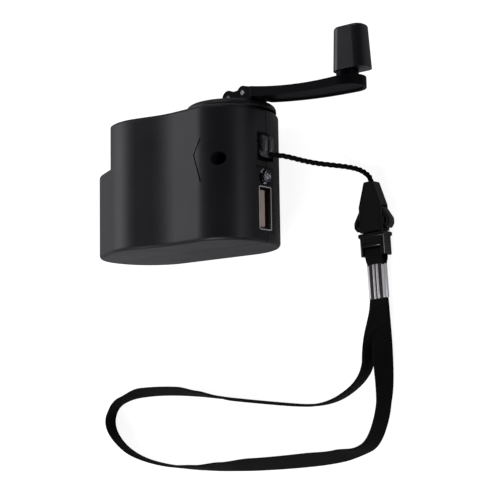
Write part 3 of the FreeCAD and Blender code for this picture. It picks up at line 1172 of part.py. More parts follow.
def make_strap():
    low, high = STRAP_LIFT, STRAP_LIFT + STRAP_WIDTH
    tilt = math.radians(LANYARD_TILT)
    down = V(math.sin(tilt), -math.cos(tilt), 0)
    mouth = BUCKLE_TOP + down * CRIMP_END
    middle = (low + high) / 2
    route = [V(x, y, middle) for x, y in STRAP_ROUTE]
    # "ahead" is measured away from the crimp on both branches, so that they twist together.
    layers = []
    for sign, point, beyond in ((1, route[0], route[1]), (-1, route[-1], route[-2])):
        flat = V(mouth.x, mouth.y, BUCKLE_TOP.z + sign * STRAP_THICK / 2)
        layers.append(twist(flat, point, down, (beyond - point).normalize()))
        tail = box(-STRAP_WIDTH / 2, STRAP_WIDTH / 2, -CRIMP_END, -CRIMP_TAIL - 0.1,
                   min(0, sign * STRAP_THICK), max(0, sign * STRAP_THICK))
        layers.append(laid(tail))
    layers.append(ribbon(STRAP_ROUTE, STRAP_THICK, low, high))
    return layers


# --- Build -------------------------------------------------------------------------------
def build():
    nodes = {}
    front, rear = make_shells()
    nodes["front_shell"] = front
    nodes["rear_shell"] = rear
    head = rod_z(SCREW_X, SCREW_Y, SCREW_SEAT_Z, SCREW_SEAT_Z + 1.6, SCREW_HEAD_R)
    shank = rod_z(SCREW_X, SCREW_Y, SCREW_TIP_Z, SCREW_SEAT_Z, SCREW_R)
    cross = box(SCREW_X - 1.1, SCREW_X + 1.1, SCREW_Y - 0.25, SCREW_Y + 0.25,
                SCREW_SEAT_Z + 0.8, SCREW_SEAT_Z + 3)
    turned = cross.copy()
    turned.rotate(V(SCREW_X, SCREW_Y, 0), Z_AXIS, 90)
    nodes["case_screw"] = head.fuse(shank).removeSplitter().cut(cross).cut(turned)
    nodes["lanyard_bar"] = rod_z(LANYARD_BAR_X, LANYARD_BAR_Y, BAR_LOW_Z, BAR_HIGH_Z, LANYARD_BAR_R)
    crank, bush = make_crank()
    nodes["shaft_bush"] = bush
    nodes.update(make_gearbox())
    nodes.update(make_generator())
    nodes.update(make_electronics())
    for name, lead in zip(("generator_lead_black", "generator_lead_red"), generator_leads()):
        nodes[name] = lead
    nodes.update(crank)
    nodes.update(make_arm())
    nodes["cord_hitch"] = make_hitch()
    cord = cord_tube(CORD_ROUTE, CORD_D, "lanyard cord")
    nodes["lanyard_cord"] = cord
    socket, insert, left, right = make_buckle()
    nodes["buckle_socket"] = laid(socket)
    nodes["buckle_insert"] = laid(insert)
    nodes["buckle_prong_left"] = laid(left)
    nodes["buckle_prong_right"] = laid(right)
    nodes["webbing_tab"] = laid(make_tab())
    nodes["webbing_crimp"] = laid(make_crimp())
    nodes["wrist_strap"] = fused(make_strap())
    return nodes


os.makedirs("parts", exist_ok=True)
for node_name, node_shape in build().items():
    if not node_shape.isValid() or node_shape.Volume <= 0:
        print("CHECK", node_name, node_shape.isValid(), node_shape.Volume)
    node_shape.exportStep(os.path.join("parts", node_name + ".step"))
    extent = node_shape.BoundBox
    print(f"{node_name:24s} solids {len(node_shape.Solids):2d} volume {node_shape.Volume:9.1f}"
          f"  X {extent.XMin:7.1f} {extent.XMax:7.1f}  Y {extent.YMin:7.1f} {extent.YMax:7.1f}"
          f"  Z {extent.ZMin:6.1f} {extent.ZMax:6.1f}")
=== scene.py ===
import json
import math

import bpy
from bpy.props import FloatProperty, FloatVectorProperty, IntProperty, PointerProperty
from mathutils import Matrix, Vector

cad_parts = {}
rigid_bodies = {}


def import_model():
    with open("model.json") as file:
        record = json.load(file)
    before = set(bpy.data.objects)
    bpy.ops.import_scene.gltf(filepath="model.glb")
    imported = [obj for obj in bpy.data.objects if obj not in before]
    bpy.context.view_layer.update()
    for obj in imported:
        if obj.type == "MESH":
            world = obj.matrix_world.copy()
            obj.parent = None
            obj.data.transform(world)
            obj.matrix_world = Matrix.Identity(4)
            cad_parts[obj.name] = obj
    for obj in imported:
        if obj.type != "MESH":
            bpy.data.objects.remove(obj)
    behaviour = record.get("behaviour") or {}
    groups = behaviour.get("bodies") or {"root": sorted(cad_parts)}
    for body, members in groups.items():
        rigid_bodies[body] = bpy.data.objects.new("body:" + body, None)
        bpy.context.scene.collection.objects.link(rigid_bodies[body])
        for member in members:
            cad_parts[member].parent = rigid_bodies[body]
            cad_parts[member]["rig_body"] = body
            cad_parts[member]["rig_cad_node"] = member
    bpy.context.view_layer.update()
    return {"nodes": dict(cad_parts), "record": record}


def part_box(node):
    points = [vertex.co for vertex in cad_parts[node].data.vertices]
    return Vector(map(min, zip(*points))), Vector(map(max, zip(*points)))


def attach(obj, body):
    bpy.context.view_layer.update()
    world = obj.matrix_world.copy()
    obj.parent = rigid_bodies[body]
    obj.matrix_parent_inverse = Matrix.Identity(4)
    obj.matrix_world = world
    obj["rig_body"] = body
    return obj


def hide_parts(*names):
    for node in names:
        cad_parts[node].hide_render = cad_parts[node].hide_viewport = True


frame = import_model()

bl_info = {
    "name": "Hand crank charger",
    "version": (1, 0, 0),
    "blender": (4, 5, 0),
    "location": "View3D > Sidebar > Charger",
    "description": "Dresses the hand crank charger, its lanyard and its wrist strap",
    "category": "Object",
}

MM = 0.001
UP = Vector((0, 0, 1))

# --- Taken from the frame ---
LAMP_LOW, LAMP_HIGH = (Vector(corner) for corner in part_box("charge_lamp"))
BAR_LOW, BAR_HIGH = (Vector(corner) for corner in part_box("lanyard_bar"))
NODE_SLOTS = {part["node"]: part["material_slot"] for part in frame["record"]["subparts"]}

# --- Routes: control points of the cord and of the strap's middle line, in metres ---
CORD_ROUTE = [
    (0.0333, 0.0062, 0.0190), (0.0362, 0.0059, 0.0181), (0.0386, 0.0053, 0.0152),
    (0.0402, 0.0046, 0.0109), (0.0422, 0.0041, 0.0063), (0.0456, 0.0036, 0.0026),
    (0.0500, 0.0027, 0.0010), (0.0540, 0.0014, 0.00085), (0.0570, -0.0005, 0.0013),
    (0.05914, -0.0023, 0.00245), (0.05927, -0.0050, 0.00245),
]
# The strap stands on its edge, so its route needs only X and Y.
STRAP_ROUTE = [
    (0.0623, -0.0560), (0.0627, -0.0652), (0.0614, -0.0728), (0.0578, -0.0802),
    (0.0524, -0.0824), (0.0440, -0.0846), (0.0270, -0.0861), (0.0080, -0.0870),
    (-0.0100, -0.0871), (-0.0260, -0.0859), (-0.0380, -0.0833), (-0.0466, -0.0786),
    (-0.0512, -0.0724), (-0.0492, -0.0664), (-0.0426, -0.0636), (-0.0320, -0.0625),
    (-0.0160, -0.0629), (0.0040, -0.0653), (0.0220, -0.0671), (0.0350, -0.0682),
    (0.0442, -0.0669), (0.0510, -0.0634), (0.0550, -0.0599), (0.0566, -0.0568),
    (0.0584, -0.0500),
]

# --- Buckle, tab and crimp: distances down the lanyard from the buckle's top ---
BUCKLE_TOP = Vector((59.2, -3.5, 2.45)) * MM
LANYARD_TILT = math.radians(2.8)
LANYARD_DOWN = Vector((math.sin(LANYARD_TILT), -math.cos(LANYARD_TILT), 0))
SLOT_TOP = 19.3 * MM            # of the slot that the tab runs through
BLOCK_END = 21.8 * MM
BAR_HALF = 1.0 * MM             # half the bar's thickness
CRIMP_TOP = 24.2 * MM
CRIMP_END = 34.6 * MM
CRIMP_HALF = 3.2 * MM           # half the solid's width
CRIMP_THICK = 2.1 * MM
# node: (piece, body)
BUCKLE_PIECES = {"buckle_insert": ("buckle_block", "case"),
                 "buckle_prong_left": ("buckle_left_prong", "prong_left"),
                 "buckle_prong_right": ("buckle_right_prong", "prong_right")}

# --- Lamp and the cord's hitch ---
LAMP_DOME = 2.5 * MM            # radius of the dome
LAMP_FLANGE = 1.0 * MM
# The white ball in the dome, whose image is a painted highlight.
GLINT_BALL_R = 0.85 * MM
GLINT_BALL_AHEAD = 1.35 * MM          # of the dome's middle
HITCH_REACH = 1.35 * MM         # from the bar's middle to each strand
HITCH_STRAND = 1.0 * MM         # radius
HITCH_PROUD = 0.35 * MM         # gap between the bar and a strand
BIGHT_R = 0.95 * MM


# --- Sizes and colours that a user would change ---
class PlasticSettings(bpy.types.PropertyGroup):
    """Colours and surface of the moulded pieces"""
    case_colour: FloatVectorProperty(
        name="Case colour", description="Colour of the moulded case", subtype="COLOR",
        size=3, min=0, max=1, default=(0.0066, 0.0066, 0.0080))
    crank_colour: FloatVectorProperty(
        name="Crank colour", description="Colour of hub, arm and knob", subtype="COLOR",
        size=3, min=0, max=1, default=(0.0036, 0.0036, 0.0044))
    buckle_colour: FloatVectorProperty(
        name="Buckle colour", description="Colour of the quick-release buckle", subtype="COLOR",
        size=3, min=0, max=1, default=(0.0050, 0.0050, 0.0054))
    case_roughness: FloatProperty(
        name="Case roughness", description="How satin the case is", subtype="FACTOR",
        min=0, max=1, default=0.44)
    grain_size: FloatProperty(
        name="Grain size", description="Pitch of the moulded texture", subtype="DISTANCE",
        unit="LENGTH", min=0.0001, max=0.002, default=0.00035)
    edge_round: FloatProperty(
        name="Edge rounding", description="Radius broken on the buckle's edges",
        subtype="DISTANCE", unit="LENGTH", min=0.00005, max=0.0006, default=0.0004)


class LanyardSettings(bpy.types.PropertyGroup):
    """Sizes and colour of the cord, the webbing and the crimp"""
    cord_diameter: FloatProperty(
        name="Cord diameter", description="Across the strands laid together",
        subtype="DISTANCE", unit="LENGTH", min=0.0008, max=0.003, default=0.0014)
    strand_pitch: FloatProperty(
        name="Strand pitch", description="Cord length for one turn of the strands",
        subtype="DISTANCE", unit="LENGTH", min=0.003, max=0.05, default=0.0055)
    strap_width: FloatProperty(
        name="Strap width", description="Width of the webbing", subtype="DISTANCE",
        unit="LENGTH", min=0.004, max=0.012, default=0.0059)
    strap_thickness: FloatProperty(
        name="Strap thickness", description="Thickness of the webbing", subtype="DISTANCE",
        unit="LENGTH", min=0.0005, max=0.002, default=0.0008)
    rib_pitch: FloatProperty(
        name="Rib pitch", description="Distance between the ribs of the weave",
        subtype="DISTANCE", unit="LENGTH", min=0.0003, max=0.002, default=0.00062)
    webbing_colour: FloatVectorProperty(
        name="Webbing colour", description="Colour of cord and webbing", subtype="COLOR",
        size=3, min=0, max=1, default=(0.0034, 0.0034, 0.0036))
    ridge_count: IntProperty(
        name="Crimp ridges", description="Ridges between the crimp's rounded edges",
        min=1, max=4, default=2)


class StageSettings(bpy.types.PropertyGroup):
    """Camera lens and floor"""
    lens: FloatProperty(
        name="Lens", description="Focal length in millimetres", min=20, max=300, default=100.8)
    floor_colour: FloatVectorProperty(
        name="Floor colour", description="Colour of floor and backdrop", subtype="COLOR",
        size=3, min=0, max=1, default=(0.48, 0.48, 0.48))


# --- Small tools ---
def select_only(piece):
    bpy.ops.object.select_all(action="DESELECT")
    piece.select_set(True)
    bpy.context.view_layer.objects.active = piece


def edit(piece):
    select_only(piece)
    bpy.ops.object.mode_set(mode="EDIT")


def edit_all(piece):
    edit(piece)
    bpy.ops.mesh.select_all(action="SELECT")


def leave_edit():
    bpy.ops.object.mode_set(mode="OBJECT")


def added(primitive, name, **values):
    """A new primitive, and nothing else selected."""
    bpy.ops.object.select_all(action="DESELECT")
    primitive(**values)
    bpy.context.object.name = name
    return bpy.context.object


def apply_place():
    bpy.ops.object.transform_apply(location=True, rotation=True, scale=True)


def apply_modifier(piece, kind, name, **values):
    modifier = piece.modifiers.new(name, kind)
    for key, value in values.items():
        setattr(modifier, key, value)
    select_only(piece)
    bpy.ops.object.modifier_apply(modifier=name)


def smooth(piece, degrees):
    select_only(piece)
    bpy.ops.object.shade_smooth_by_angle(angle=math.radians(degrees))


def dress(piece, finish):
    piece.data.materials.clear()
    piece.data.materials.append(finish_for(finish))


def settle(piece, body, slot, stands_for=(), finish=None):
    """Gives a finished piece the material of its finish, or else of its slot, puts it on its body
    and hides the nodes that it stands for.
    """
    dress(piece, finish or slot)
    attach(piece, body)
    if stands_for:
        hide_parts(*stands_for)


WELD = 0.002 * MM                       # points nearer than this are one
FLATTER_THAN = math.radians(0.6)        # faces that make one plane
SHARPER_THAN = math.radians(40)         # edges that are broken


def machined_copy(node, name, edge, segments):
    """A merged copy of a node's mesh, with its hard edges broken."""
    source = frame["nodes"][node]
    piece = source.copy()
    piece.data = source.data.copy()
    piece.parent = None
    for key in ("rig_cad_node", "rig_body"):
        if key in piece:
            del piece[key]
    piece.name = name
    bpy.context.scene.collection.objects.link(piece)
    edit_all(piece)
    bpy.ops.mesh.remove_doubles(threshold=WELD)
    bpy.ops.mesh.dissolve_limited(angle_limit=FLATTER_THAN)
    leave_edit()
    apply_modifier(piece, "BEVEL", "broken edges", width=edge, segments=segments,
                   limit_method="ANGLE", angle_limit=SHARPER_THAN,
                   use_clamp_overlap=True, harden_normals=False)
    smooth(piece, 32)
    return piece


def route_line(name, points, step):
    """Evenly spaced points along the smooth line that the control points give."""
    curve = bpy.data.curves.new(name, "CURVE")
    curve.dimensions = "3D"
    curve.resolution_u = 16
    spline = curve.splines.new("NURBS")
    spline.points.add(len(points) - 1)
    for knot, place in zip(spline.points, points):
        knot.co = (*place, 1.0)
    spline.order_u = 3
    spline.use_endpoint_u = True
    holder = bpy.data.objects.new(name, curve)
    bpy.context.scene.collection.objects.link(holder)
    mesh = bpy.data.meshes.new_from_object(holder)
    line = [v.co.copy() for v in mesh.vertices]
    bpy.data.meshes.remove(mesh)
    bpy.data.objects.remove(holder)
    bpy.data.curves.remove(curve)
    return resampled(line, step)


def run_lengths(line):
    """The length of the line up to each of its points."""
    lengths = [0.0]
    for before, after in zip(line, line[1:]):
        lengths.append(lengths[-1] + (after - before).length)
    return lengths


def resampled(line, step):
    """The same line with points at an even spacing."""
    lengths = run_lengths(line)
    count = round(lengths[-1] / step)
    result, k = [], 0
    for i in range(count + 1):
        want = lengths[-1] * i / count
        while k < len(lengths) - 2 and lengths[k + 1] < want:
            k += 1
        span = lengths[k + 1] - lengths[k]
        result.append(line[k].lerp(line[k + 1], min(1.0, (want - lengths[k]) / span)))
    return result


def directions(line):
    """The way that the line runs at each of its points."""
    last = len(line) - 1
    return [(line[min(i + 1, last)] - line[max(i - 1, 0)]).normalized() for i in range(last + 1)]


def carried_frames(line):
    """The line's way at each point, and a side that turns no more than the line does."""
    ahead = directions(line)
    side = ahead[0].orthogonal().normalized()
    sides = []
    for way in ahead:
        side = (side - way * side.dot(way)).normalized()
        sides.append(side)
    return ahead, sides


WEAVE_UV = "Weave"


def swept(name, rings):
    """A tube with closed ends through rings of points. Its UV is in metres, U round, V along."""
    count, sides = len(rings), len(rings[0])
    along = run_lengths([sum(ring, Vector()) / sides for ring in rings])
    around = run_lengths(rings[0] + [rings[0][0]])
    faces, corners = [], []
    for i in range(count - 1):
        for j in range(sides):
            here, beside = i * sides + j, i * sides + (j + 1) % sides
            faces.append((here, beside, beside + sides, here + sides))
            corners += [(around[j], along[i]), (around[j + 1], along[i]),
                        (around[j + 1], along[i + 1]), (around[j], along[i + 1])]
    faces.append(tuple(reversed(range(sides))))
    corners += [(around[j], along[0]) for j in reversed(range(sides))]
    faces.append(tuple(range((count - 1) * sides, count * sides)))
    corners += [(around[j], along[-1]) for j in range(sides)]
    mesh = bpy.data.meshes.new(name)
    mesh.from_pydata([tuple(point) for ring in rings for point in ring], [], faces)
    layer = mesh.uv_layers.new(name=WEAVE_UV)
    for loop, uv in zip(layer.data, corners):
        loop.uv = uv
    piece = bpy.data.objects.new(name, mesh)
    bpy.context.scene.collection.objects.link(piece)
    edit_all(piece)
    bpy.ops.mesh.normals_make_consistent(inside=False)
    leave_edit()
    smooth(piece, 50)
    return piece


def round_rope(name, line, radius, sides, bulge=lambda share: 1.0):
    """A round tube along a line. bulge gives its swelling at each share of the line."""
    rings = []
    for i, (point, way, side) in enumerate(zip(line, *carried_frames(line))):
        other = way.cross(side)
        size = radius * bulge(i / (len(line) - 1))
        rings.append([point + (side * math.cos(a) + other * math.sin(a)) * size
                      for a in (2 * math.pi * j / sides for j in range(sides))])
    return swept(name, rings)


def joined(pieces, name):
    """One piece of several."""
    bpy.ops.object.select_all(action="DESELECT")
    for piece in pieces:
        piece.select_set(True)
    bpy.context.view_layer.objects.active = pieces[0]
    bpy.ops.object.join()
    pieces[0].name = name
    return pieces[0]


# --- Shader node groups ---
def new_node(tree, kind, **values):
    """A new node with its own settings."""
    node = tree.nodes.new(kind)
    for key, value in values.items():
        setattr(node, key, value)
    return node


def feed(tree, value, socket):
    """Links a socket to an output, or gives it a plain value."""
    if hasattr(value, "is_output"):
        tree.links.new(value, socket)
    else:
        socket.default_value = value


def feed_all(tree, node, **values):
    """Feeds a node's sockets by name, with _ for a space."""
    for label, value in values.items():
        feed(tree, value, node.inputs[label.replace("_", " ")])


def math_node(tree, operation, *values, clamp=False):
    node = new_node(tree, "ShaderNodeMath", operation=operation, use_clamp=clamp)
    for value, socket in zip(values, node.inputs):
        feed(tree, value, socket)
    return node.outputs[0]


def product(tree, *values, clamp=False):
    return math_node(tree, "MULTIPLY", *values, clamp=clamp)


def total(tree, *values, clamp=False):
    return math_node(tree, "ADD", *values, clamp=clamp)


def new_group(name, inputs, outputs):
    """An empty node group, with its input and its output node."""
    tree = bpy.data.node_groups.new(name, "ShaderNodeTree")
    for label, kind, default in inputs:
        socket = tree.interface.new_socket(label, in_out="INPUT", socket_type=kind)
        if default is not None:
            socket.default_value = default
    for label, kind in outputs:
        tree.interface.new_socket(label, in_out="OUTPUT", socket_type=kind)
    return tree, tree.nodes.new("NodeGroupInput"), tree.nodes.new("NodeGroupOutput")


def noise(tree, vector, scale, detail, roughness):
    node = new_node(tree, "ShaderNodeTexNoise")
    feed_all(tree, node, Vector=vector, Scale=scale, Detail=detail, Roughness=roughness)
    return node.outputs["Fac"]


def ranged(tree, value, low, high, to_low=0.0, to_high=1.0):
    node = new_node(tree, "ShaderNodeMapRange")
    feed_all(tree, node, Value=value, From_Min=low, From_Max=high, To_Min=to_low, To_Max=to_high)
    return node.outputs["Result"]


FLOAT, VECTOR = "NodeSocketFloat", "NodeSocketVector"
NOISE_RANGE = 0.3, 0.7          # where most of a noise's values lie
PATCH_SCALE = 55.0              # of the slow patches on plastic and metal
EDGE_BREAK_SCALE = 900.0            # of the breaks in the paler edges, which are part rubbed wear and part painted highlight
EDGE_BREAK_RANGE = 0.35, 0.65
ROUNDED_AWAY = 0.97, 0.75       # cosine between the true and the rounded normal
HAIR_STRETCH = 1.0, 0.04, 1.0   # hairlines run along Y
FIBRE_SCALE = 9000.0            # of the loose fibres on webbing
RIB_HEIGHT, THREAD_HEIGHT = 0.36, 0.14
FUZZ_SHADE, FUZZ_HEIGHT = 0.25, 0.15


def grain_group():
    """Fine moulded grain with slow patches of more and less gloss."""
    tree, into, out = new_group(
        "Moulded grain",
        [("Vector", VECTOR, None), ("Pitch", FLOAT, 0.0004), ("Roughness", FLOAT, 0.4),
         ("Variation", FLOAT, 0.08)],
        [("Height", FLOAT), ("Roughness", FLOAT), ("Patches", FLOAT)])
    scale = math_node(tree, "DIVIDE", 1.0, into.outputs["Pitch"])
    fine = noise(tree, into.outputs["Vector"], scale, 3.0, 0.6)
    slow = noise(tree, into.outputs["Vector"], PATCH_SCALE, 3.0, 0.55)
    patches = ranged(tree, slow, *NOISE_RANGE)
    swing, speckle = (product(tree, math_node(tree, "SUBTRACT", pattern, 0.5),
                              into.outputs["Variation"]) for pattern in (patches, fine))
    rough = total(tree, into.outputs["Roughness"], total(tree, swing, speckle), clamp=True)
    feed_all(tree, out, Height=fine, Roughness=rough, Patches=patches)
    return tree


def edge_wear_and_highlight_group():
    """Mask of edges, paler for rubbed wear and for a painted edge highlight, broken up by noise.
    """
    tree, into, out = new_group(
        "Edge wear and painted highlight",
        [("Vector", VECTOR, None), ("Reach", FLOAT, 0.0004), ("Amount", FLOAT, 0.5)],
        [("Mask", FLOAT)])
    rounded = new_node(tree, "ShaderNodeBevel", samples=4)
    feed_all(tree, rounded, Radius=into.outputs["Reach"])
    flat = new_node(tree, "ShaderNodeNewGeometry")
    dot = new_node(tree, "ShaderNodeVectorMath", operation="DOT_PRODUCT")
    feed(tree, rounded.outputs["Normal"], dot.inputs[0])
    feed(tree, flat.outputs["Normal"], dot.inputs[1])
    edge = ranged(tree, dot.outputs["Value"], *ROUNDED_AWAY)
    breaks = noise(tree, into.outputs["Vector"], EDGE_BREAK_SCALE, 4.0, 0.65)
    broken = ranged(tree, breaks, *EDGE_BREAK_RANGE, to_low=0.2)
    mask = product(tree, product(tree, edge, broken), into.outputs["Amount"], clamp=True)
    feed_all(tree, out, Mask=mask)
    return tree


def scratch_group():
    """Long fine hairlines, as brushing or handling leaves them."""
    tree, into, out = new_group(
        "Hairlines",
        [("Vector", VECTOR, None), ("Scale", FLOAT, 4000.0)],
        [("Height", FLOAT), ("Streaks", FLOAT)])
    stretch = new_node(tree, "ShaderNodeMapping")
    feed_all(tree, stretch, Vector=into.outputs["Vector"], Scale=HAIR_STRETCH)
    streaks = noise(tree, stretch.outputs["Vector"], into.outputs["Scale"], 3.0, 0.7)
    feed_all(tree, out, Height=streaks, Streaks=ranged(tree, streaks, *NOISE_RANGE))
    return tree


def weave_group():
    """Ribs across a webbing, with warp threads and loose fibres. Its Shade is painted shade
    between the ribs and painted highlight on them, mixed with random fibre tone.
    """
    tree, into, out = new_group(
        "Ribbed weave",
        [("UV", VECTOR, None), ("Rib pitch", FLOAT, 0.0006), ("Thread pitch", FLOAT, 0.0005),
         ("Slant", FLOAT, 0.35)],
        [("Height", FLOAT), ("Shade", FLOAT), ("Fuzz", FLOAT)])
    parts = new_node(tree, "ShaderNodeSeparateXYZ")
    feed(tree, into.outputs["UV"], parts.inputs[0])
    leaning = total(tree, parts.outputs["Y"],
                    product(tree, parts.outputs["X"], into.outputs["Slant"]))
    rib, thread = (
        math_node(tree, "SINE", product(tree, math_node(tree, "DIVIDE", run, pitch), 2 * math.pi))
        for run, pitch in ((leaning, into.outputs["Rib pitch"]),
                           (parts.outputs["X"], into.outputs["Thread pitch"])))
    woven = total(tree, product(tree, rib, RIB_HEIGHT),
                  product(tree, product(tree, rib, thread), THREAD_HEIGHT))
    height = total(tree, woven, 0.5)
    fuzz = ranged(tree, noise(tree, into.outputs["UV"], FIBRE_SCALE, 3.0, 0.7), *NOISE_RANGE)
    shade = total(tree, product(tree, height, 1 - FUZZ_SHADE), product(tree, fuzz, FUZZ_SHADE))
    feed_all(tree, out, Height=total(tree, height, product(tree, fuzz, FUZZ_HEIGHT)),
             Shade=shade, Fuzz=fuzz)
    return tree


GROUP_MAKERS = {"grain": grain_group, "edge_wear_and_highlight": edge_wear_and_highlight_group, "scratch": scratch_group,
                "weave": weave_group}
GROUPS = {}


def group(name):
    """A node group, built once."""
    if name not in GROUPS:
        GROUPS[name] = GROUP_MAKERS[name]()
    return GROUPS[name]


# --- Materials ---
EDGE_WEAR_AND_HIGHLIGHT_COLOUR = 2.2, 0.01       # how much paler the edges are, for rubbed wear and a painted edge highlight: a factor and an addend
PATCH_COLOUR = 1.25, 0.0015     # and plastic in its duller patches
PATCHES_IN_EDGE_MARK = 0.25
STREAK_ROUGHNESS = 0.06
SHEEN, SHEEN_ROUGHNESS = 0.025, 0.45
RIB_SHADE_AND_HIGHLIGHT = 0.45, 1.9         # painted shade between the ribs and painted highlight on them, as factors on the webbing's colour


def start_material(name, colour, roughness, metallic=0.0, specular=0.5):
    """A plain material, to which its maker adds detail."""
    material = bpy.data.materials.new(name)
    material.use_nodes = True
    tree = material.node_tree
    shader = tree.nodes["Principled BSDF"]
    feed_all(tree, shader, Base_Color=(*colour, 1.0), Roughness=roughness, Metallic=metallic,
             Specular_IOR_Level=specular)
    return material, tree, shader


def placed_group(tree, name, source, **values):
    """A node group in a material, fed by coordinates and given its own values."""
    node = new_node(tree, "ShaderNodeGroup", node_tree=group(name))
    feed(tree, source, node.inputs[0])
    feed_all(tree, node, **values)
    return node


def bumped(tree, shader, height, depth):
    bump = new_node(tree, "ShaderNodeBump")
    feed_all(tree, bump, Strength=1.0, Distance=depth, Height=height)
    feed_all(tree, shader, Normal=bump.outputs["Normal"])


def mixed_colour(tree, shader, mask, first, second):
    mix = new_node(tree, "ShaderNodeMix", data_type="RGBA")
    feed_all(tree, mix, Factor=mask, A=(*first, 1.0), B=(*second, 1.0))
    feed_all(tree, shader, Base_Color=mix.outputs["Result"])


def object_place(tree):
    return new_node(tree, "ShaderNodeTexCoord").outputs["Object"]


def moulded(name, colour, roughness, pitch=0.0004, depth=0.000015, variation=0.08, edge_wear_and_highlight=0.0,
            specular=0.38):
    """Moulded plastic with grain, glossier and duller patches and paler edges, part rubbed wear
    and part painted highlight.
    """
    material, tree, shader = start_material(name, colour, roughness, specular=specular)
    place = object_place(tree)
    grain = placed_group(tree, "grain", place, Pitch=pitch, Roughness=roughness,
                         Variation=variation)
    feed_all(tree, shader, Roughness=grain.outputs["Roughness"])
    bumped(tree, shader, grain.outputs["Height"], depth)
    mask, (factor, addend) = grain.outputs["Patches"], PATCH_COLOUR
    # Paler edges: part rubbed wear, part painted edge highlight.
    if edge_wear_and_highlight:
        edge_mark = placed_group(tree, "edge_wear_and_highlight", place, Amount=edge_wear_and_highlight)
        mask = total(tree, edge_mark.outputs["Mask"], product(tree, mask, PATCHES_IN_EDGE_MARK),
                     clamp=True)
        factor, addend = EDGE_WEAR_AND_HIGHLIGHT_COLOUR
    mixed_colour(tree, shader, mask, colour, (min(1.0, c * factor + addend) for c in colour))
    return material


def metal(name, colour, roughness, depth=0.000006, scale=4000.0, variation=0.12, tarnish=0.85,
          metallic=1.0):
    """Metal with hairlines and slow tarnish."""
    material, tree, shader = start_material(name, colour, roughness, metallic=metallic)
    place = object_place(tree)
    hair = placed_group(tree, "scratch", place, Scale=scale)
    grain = placed_group(tree, "grain", place, Pitch=0.0006, Roughness=roughness,
                         Variation=variation)
    streaks = product(tree, hair.outputs["Streaks"], STREAK_ROUGHNESS)
    feed_all(tree, shader,
             Roughness=total(tree, grain.outputs["Roughness"], streaks, clamp=True))
    bumped(tree, shader, hair.outputs["Height"], depth)
    mixed_colour(tree, shader, grain.outputs["Patches"], colour, (c * tarnish for c in colour))
    return material


def webbing(name, colour, rib_pitch, slant, depth=0.00012, specular=0.1, rough=(0.62, 0.82)):
    """Woven cloth in the piece's own UV, in metres along it and round it."""
    material, tree, shader = start_material(name, colour, rough[1], specular=specular)
    source = new_node(tree, "ShaderNodeUVMap", uv_map=WEAVE_UV)
    weave = placed_group(tree, "weave", source.outputs["UV"], Rib_pitch=rib_pitch, Slant=slant)
    # Painted shade between the ribs and painted highlight on them, with random fibre tone.
    mixed_colour(tree, shader, weave.outputs["Shade"],
                 *([c * factor for c in colour] for factor in RIB_SHADE_AND_HIGHLIGHT))
    feed_all(tree, shader, Sheen_Weight=SHEEN, Sheen_Roughness=SHEEN_ROUGHNESS,
             Roughness=ranged(tree, weave.outputs["Fuzz"], 0.0, 1.0, *rough))
    bumped(tree, shader, weave.outputs["Height"], depth)
    return material


def clear_epoxy(name, colour, roughness):
    """Clear resin, a little uneven."""
    material, tree, shader = start_material(name, colour, roughness)
    feed_all(tree, shader, Transmission_Weight=1.0, IOR=1.5)
    grain = placed_group(tree, "grain", object_place(tree), Pitch=0.0012, Roughness=roughness,
                         Variation=0.03)
    feed_all(tree, shader, Roughness=grain.outputs["Roughness"])
    bumped(tree, shader, grain.outputs["Height"], 0.000004)
    return material


def case_abs():
    settings = bpy.context.scene.charger_plastic
    return moulded("Case ABS", tuple(settings.case_colour), settings.case_roughness,
                   settings.grain_size, 0.000012, 0.07, edge_wear_and_highlight=0.35)


def crank_abs(name, roughness, edge_wear_and_highlight, specular):
    """The plastic of arm and knob, whose grain is coarser than the case's."""
    settings = bpy.context.scene.charger_plastic
    return moulded(name, tuple(settings.crank_colour), roughness, settings.grain_size * 1.4,
                   0.000006, 0.05, edge_wear_and_highlight=edge_wear_and_highlight, specular=specular)


def buckle_acetal():
    return moulded("Buckle acetal", tuple(bpy.context.scene.charger_plastic.buckle_colour), 0.16,
                   0.0011, 0.000008, 0.05, edge_wear_and_highlight=0.25, specular=0.6)


def braid(name, paler, depth, **values):
    """Thin cord with its threads far aslant, paler than the webbing by a factor."""
    colour = tuple(c * paler for c in bpy.context.scene.charger_lanyard.webbing_colour)
    return webbing(name, colour, 0.0007, 0.9, depth, **values)


def band(name, coarser, slant):
    """Flat webbing, its ribs coarser than the strap's by a factor."""
    settings = bpy.context.scene.charger_lanyard
    return webbing(name, tuple(settings.webbing_colour), settings.rib_pitch * coarser, slant)


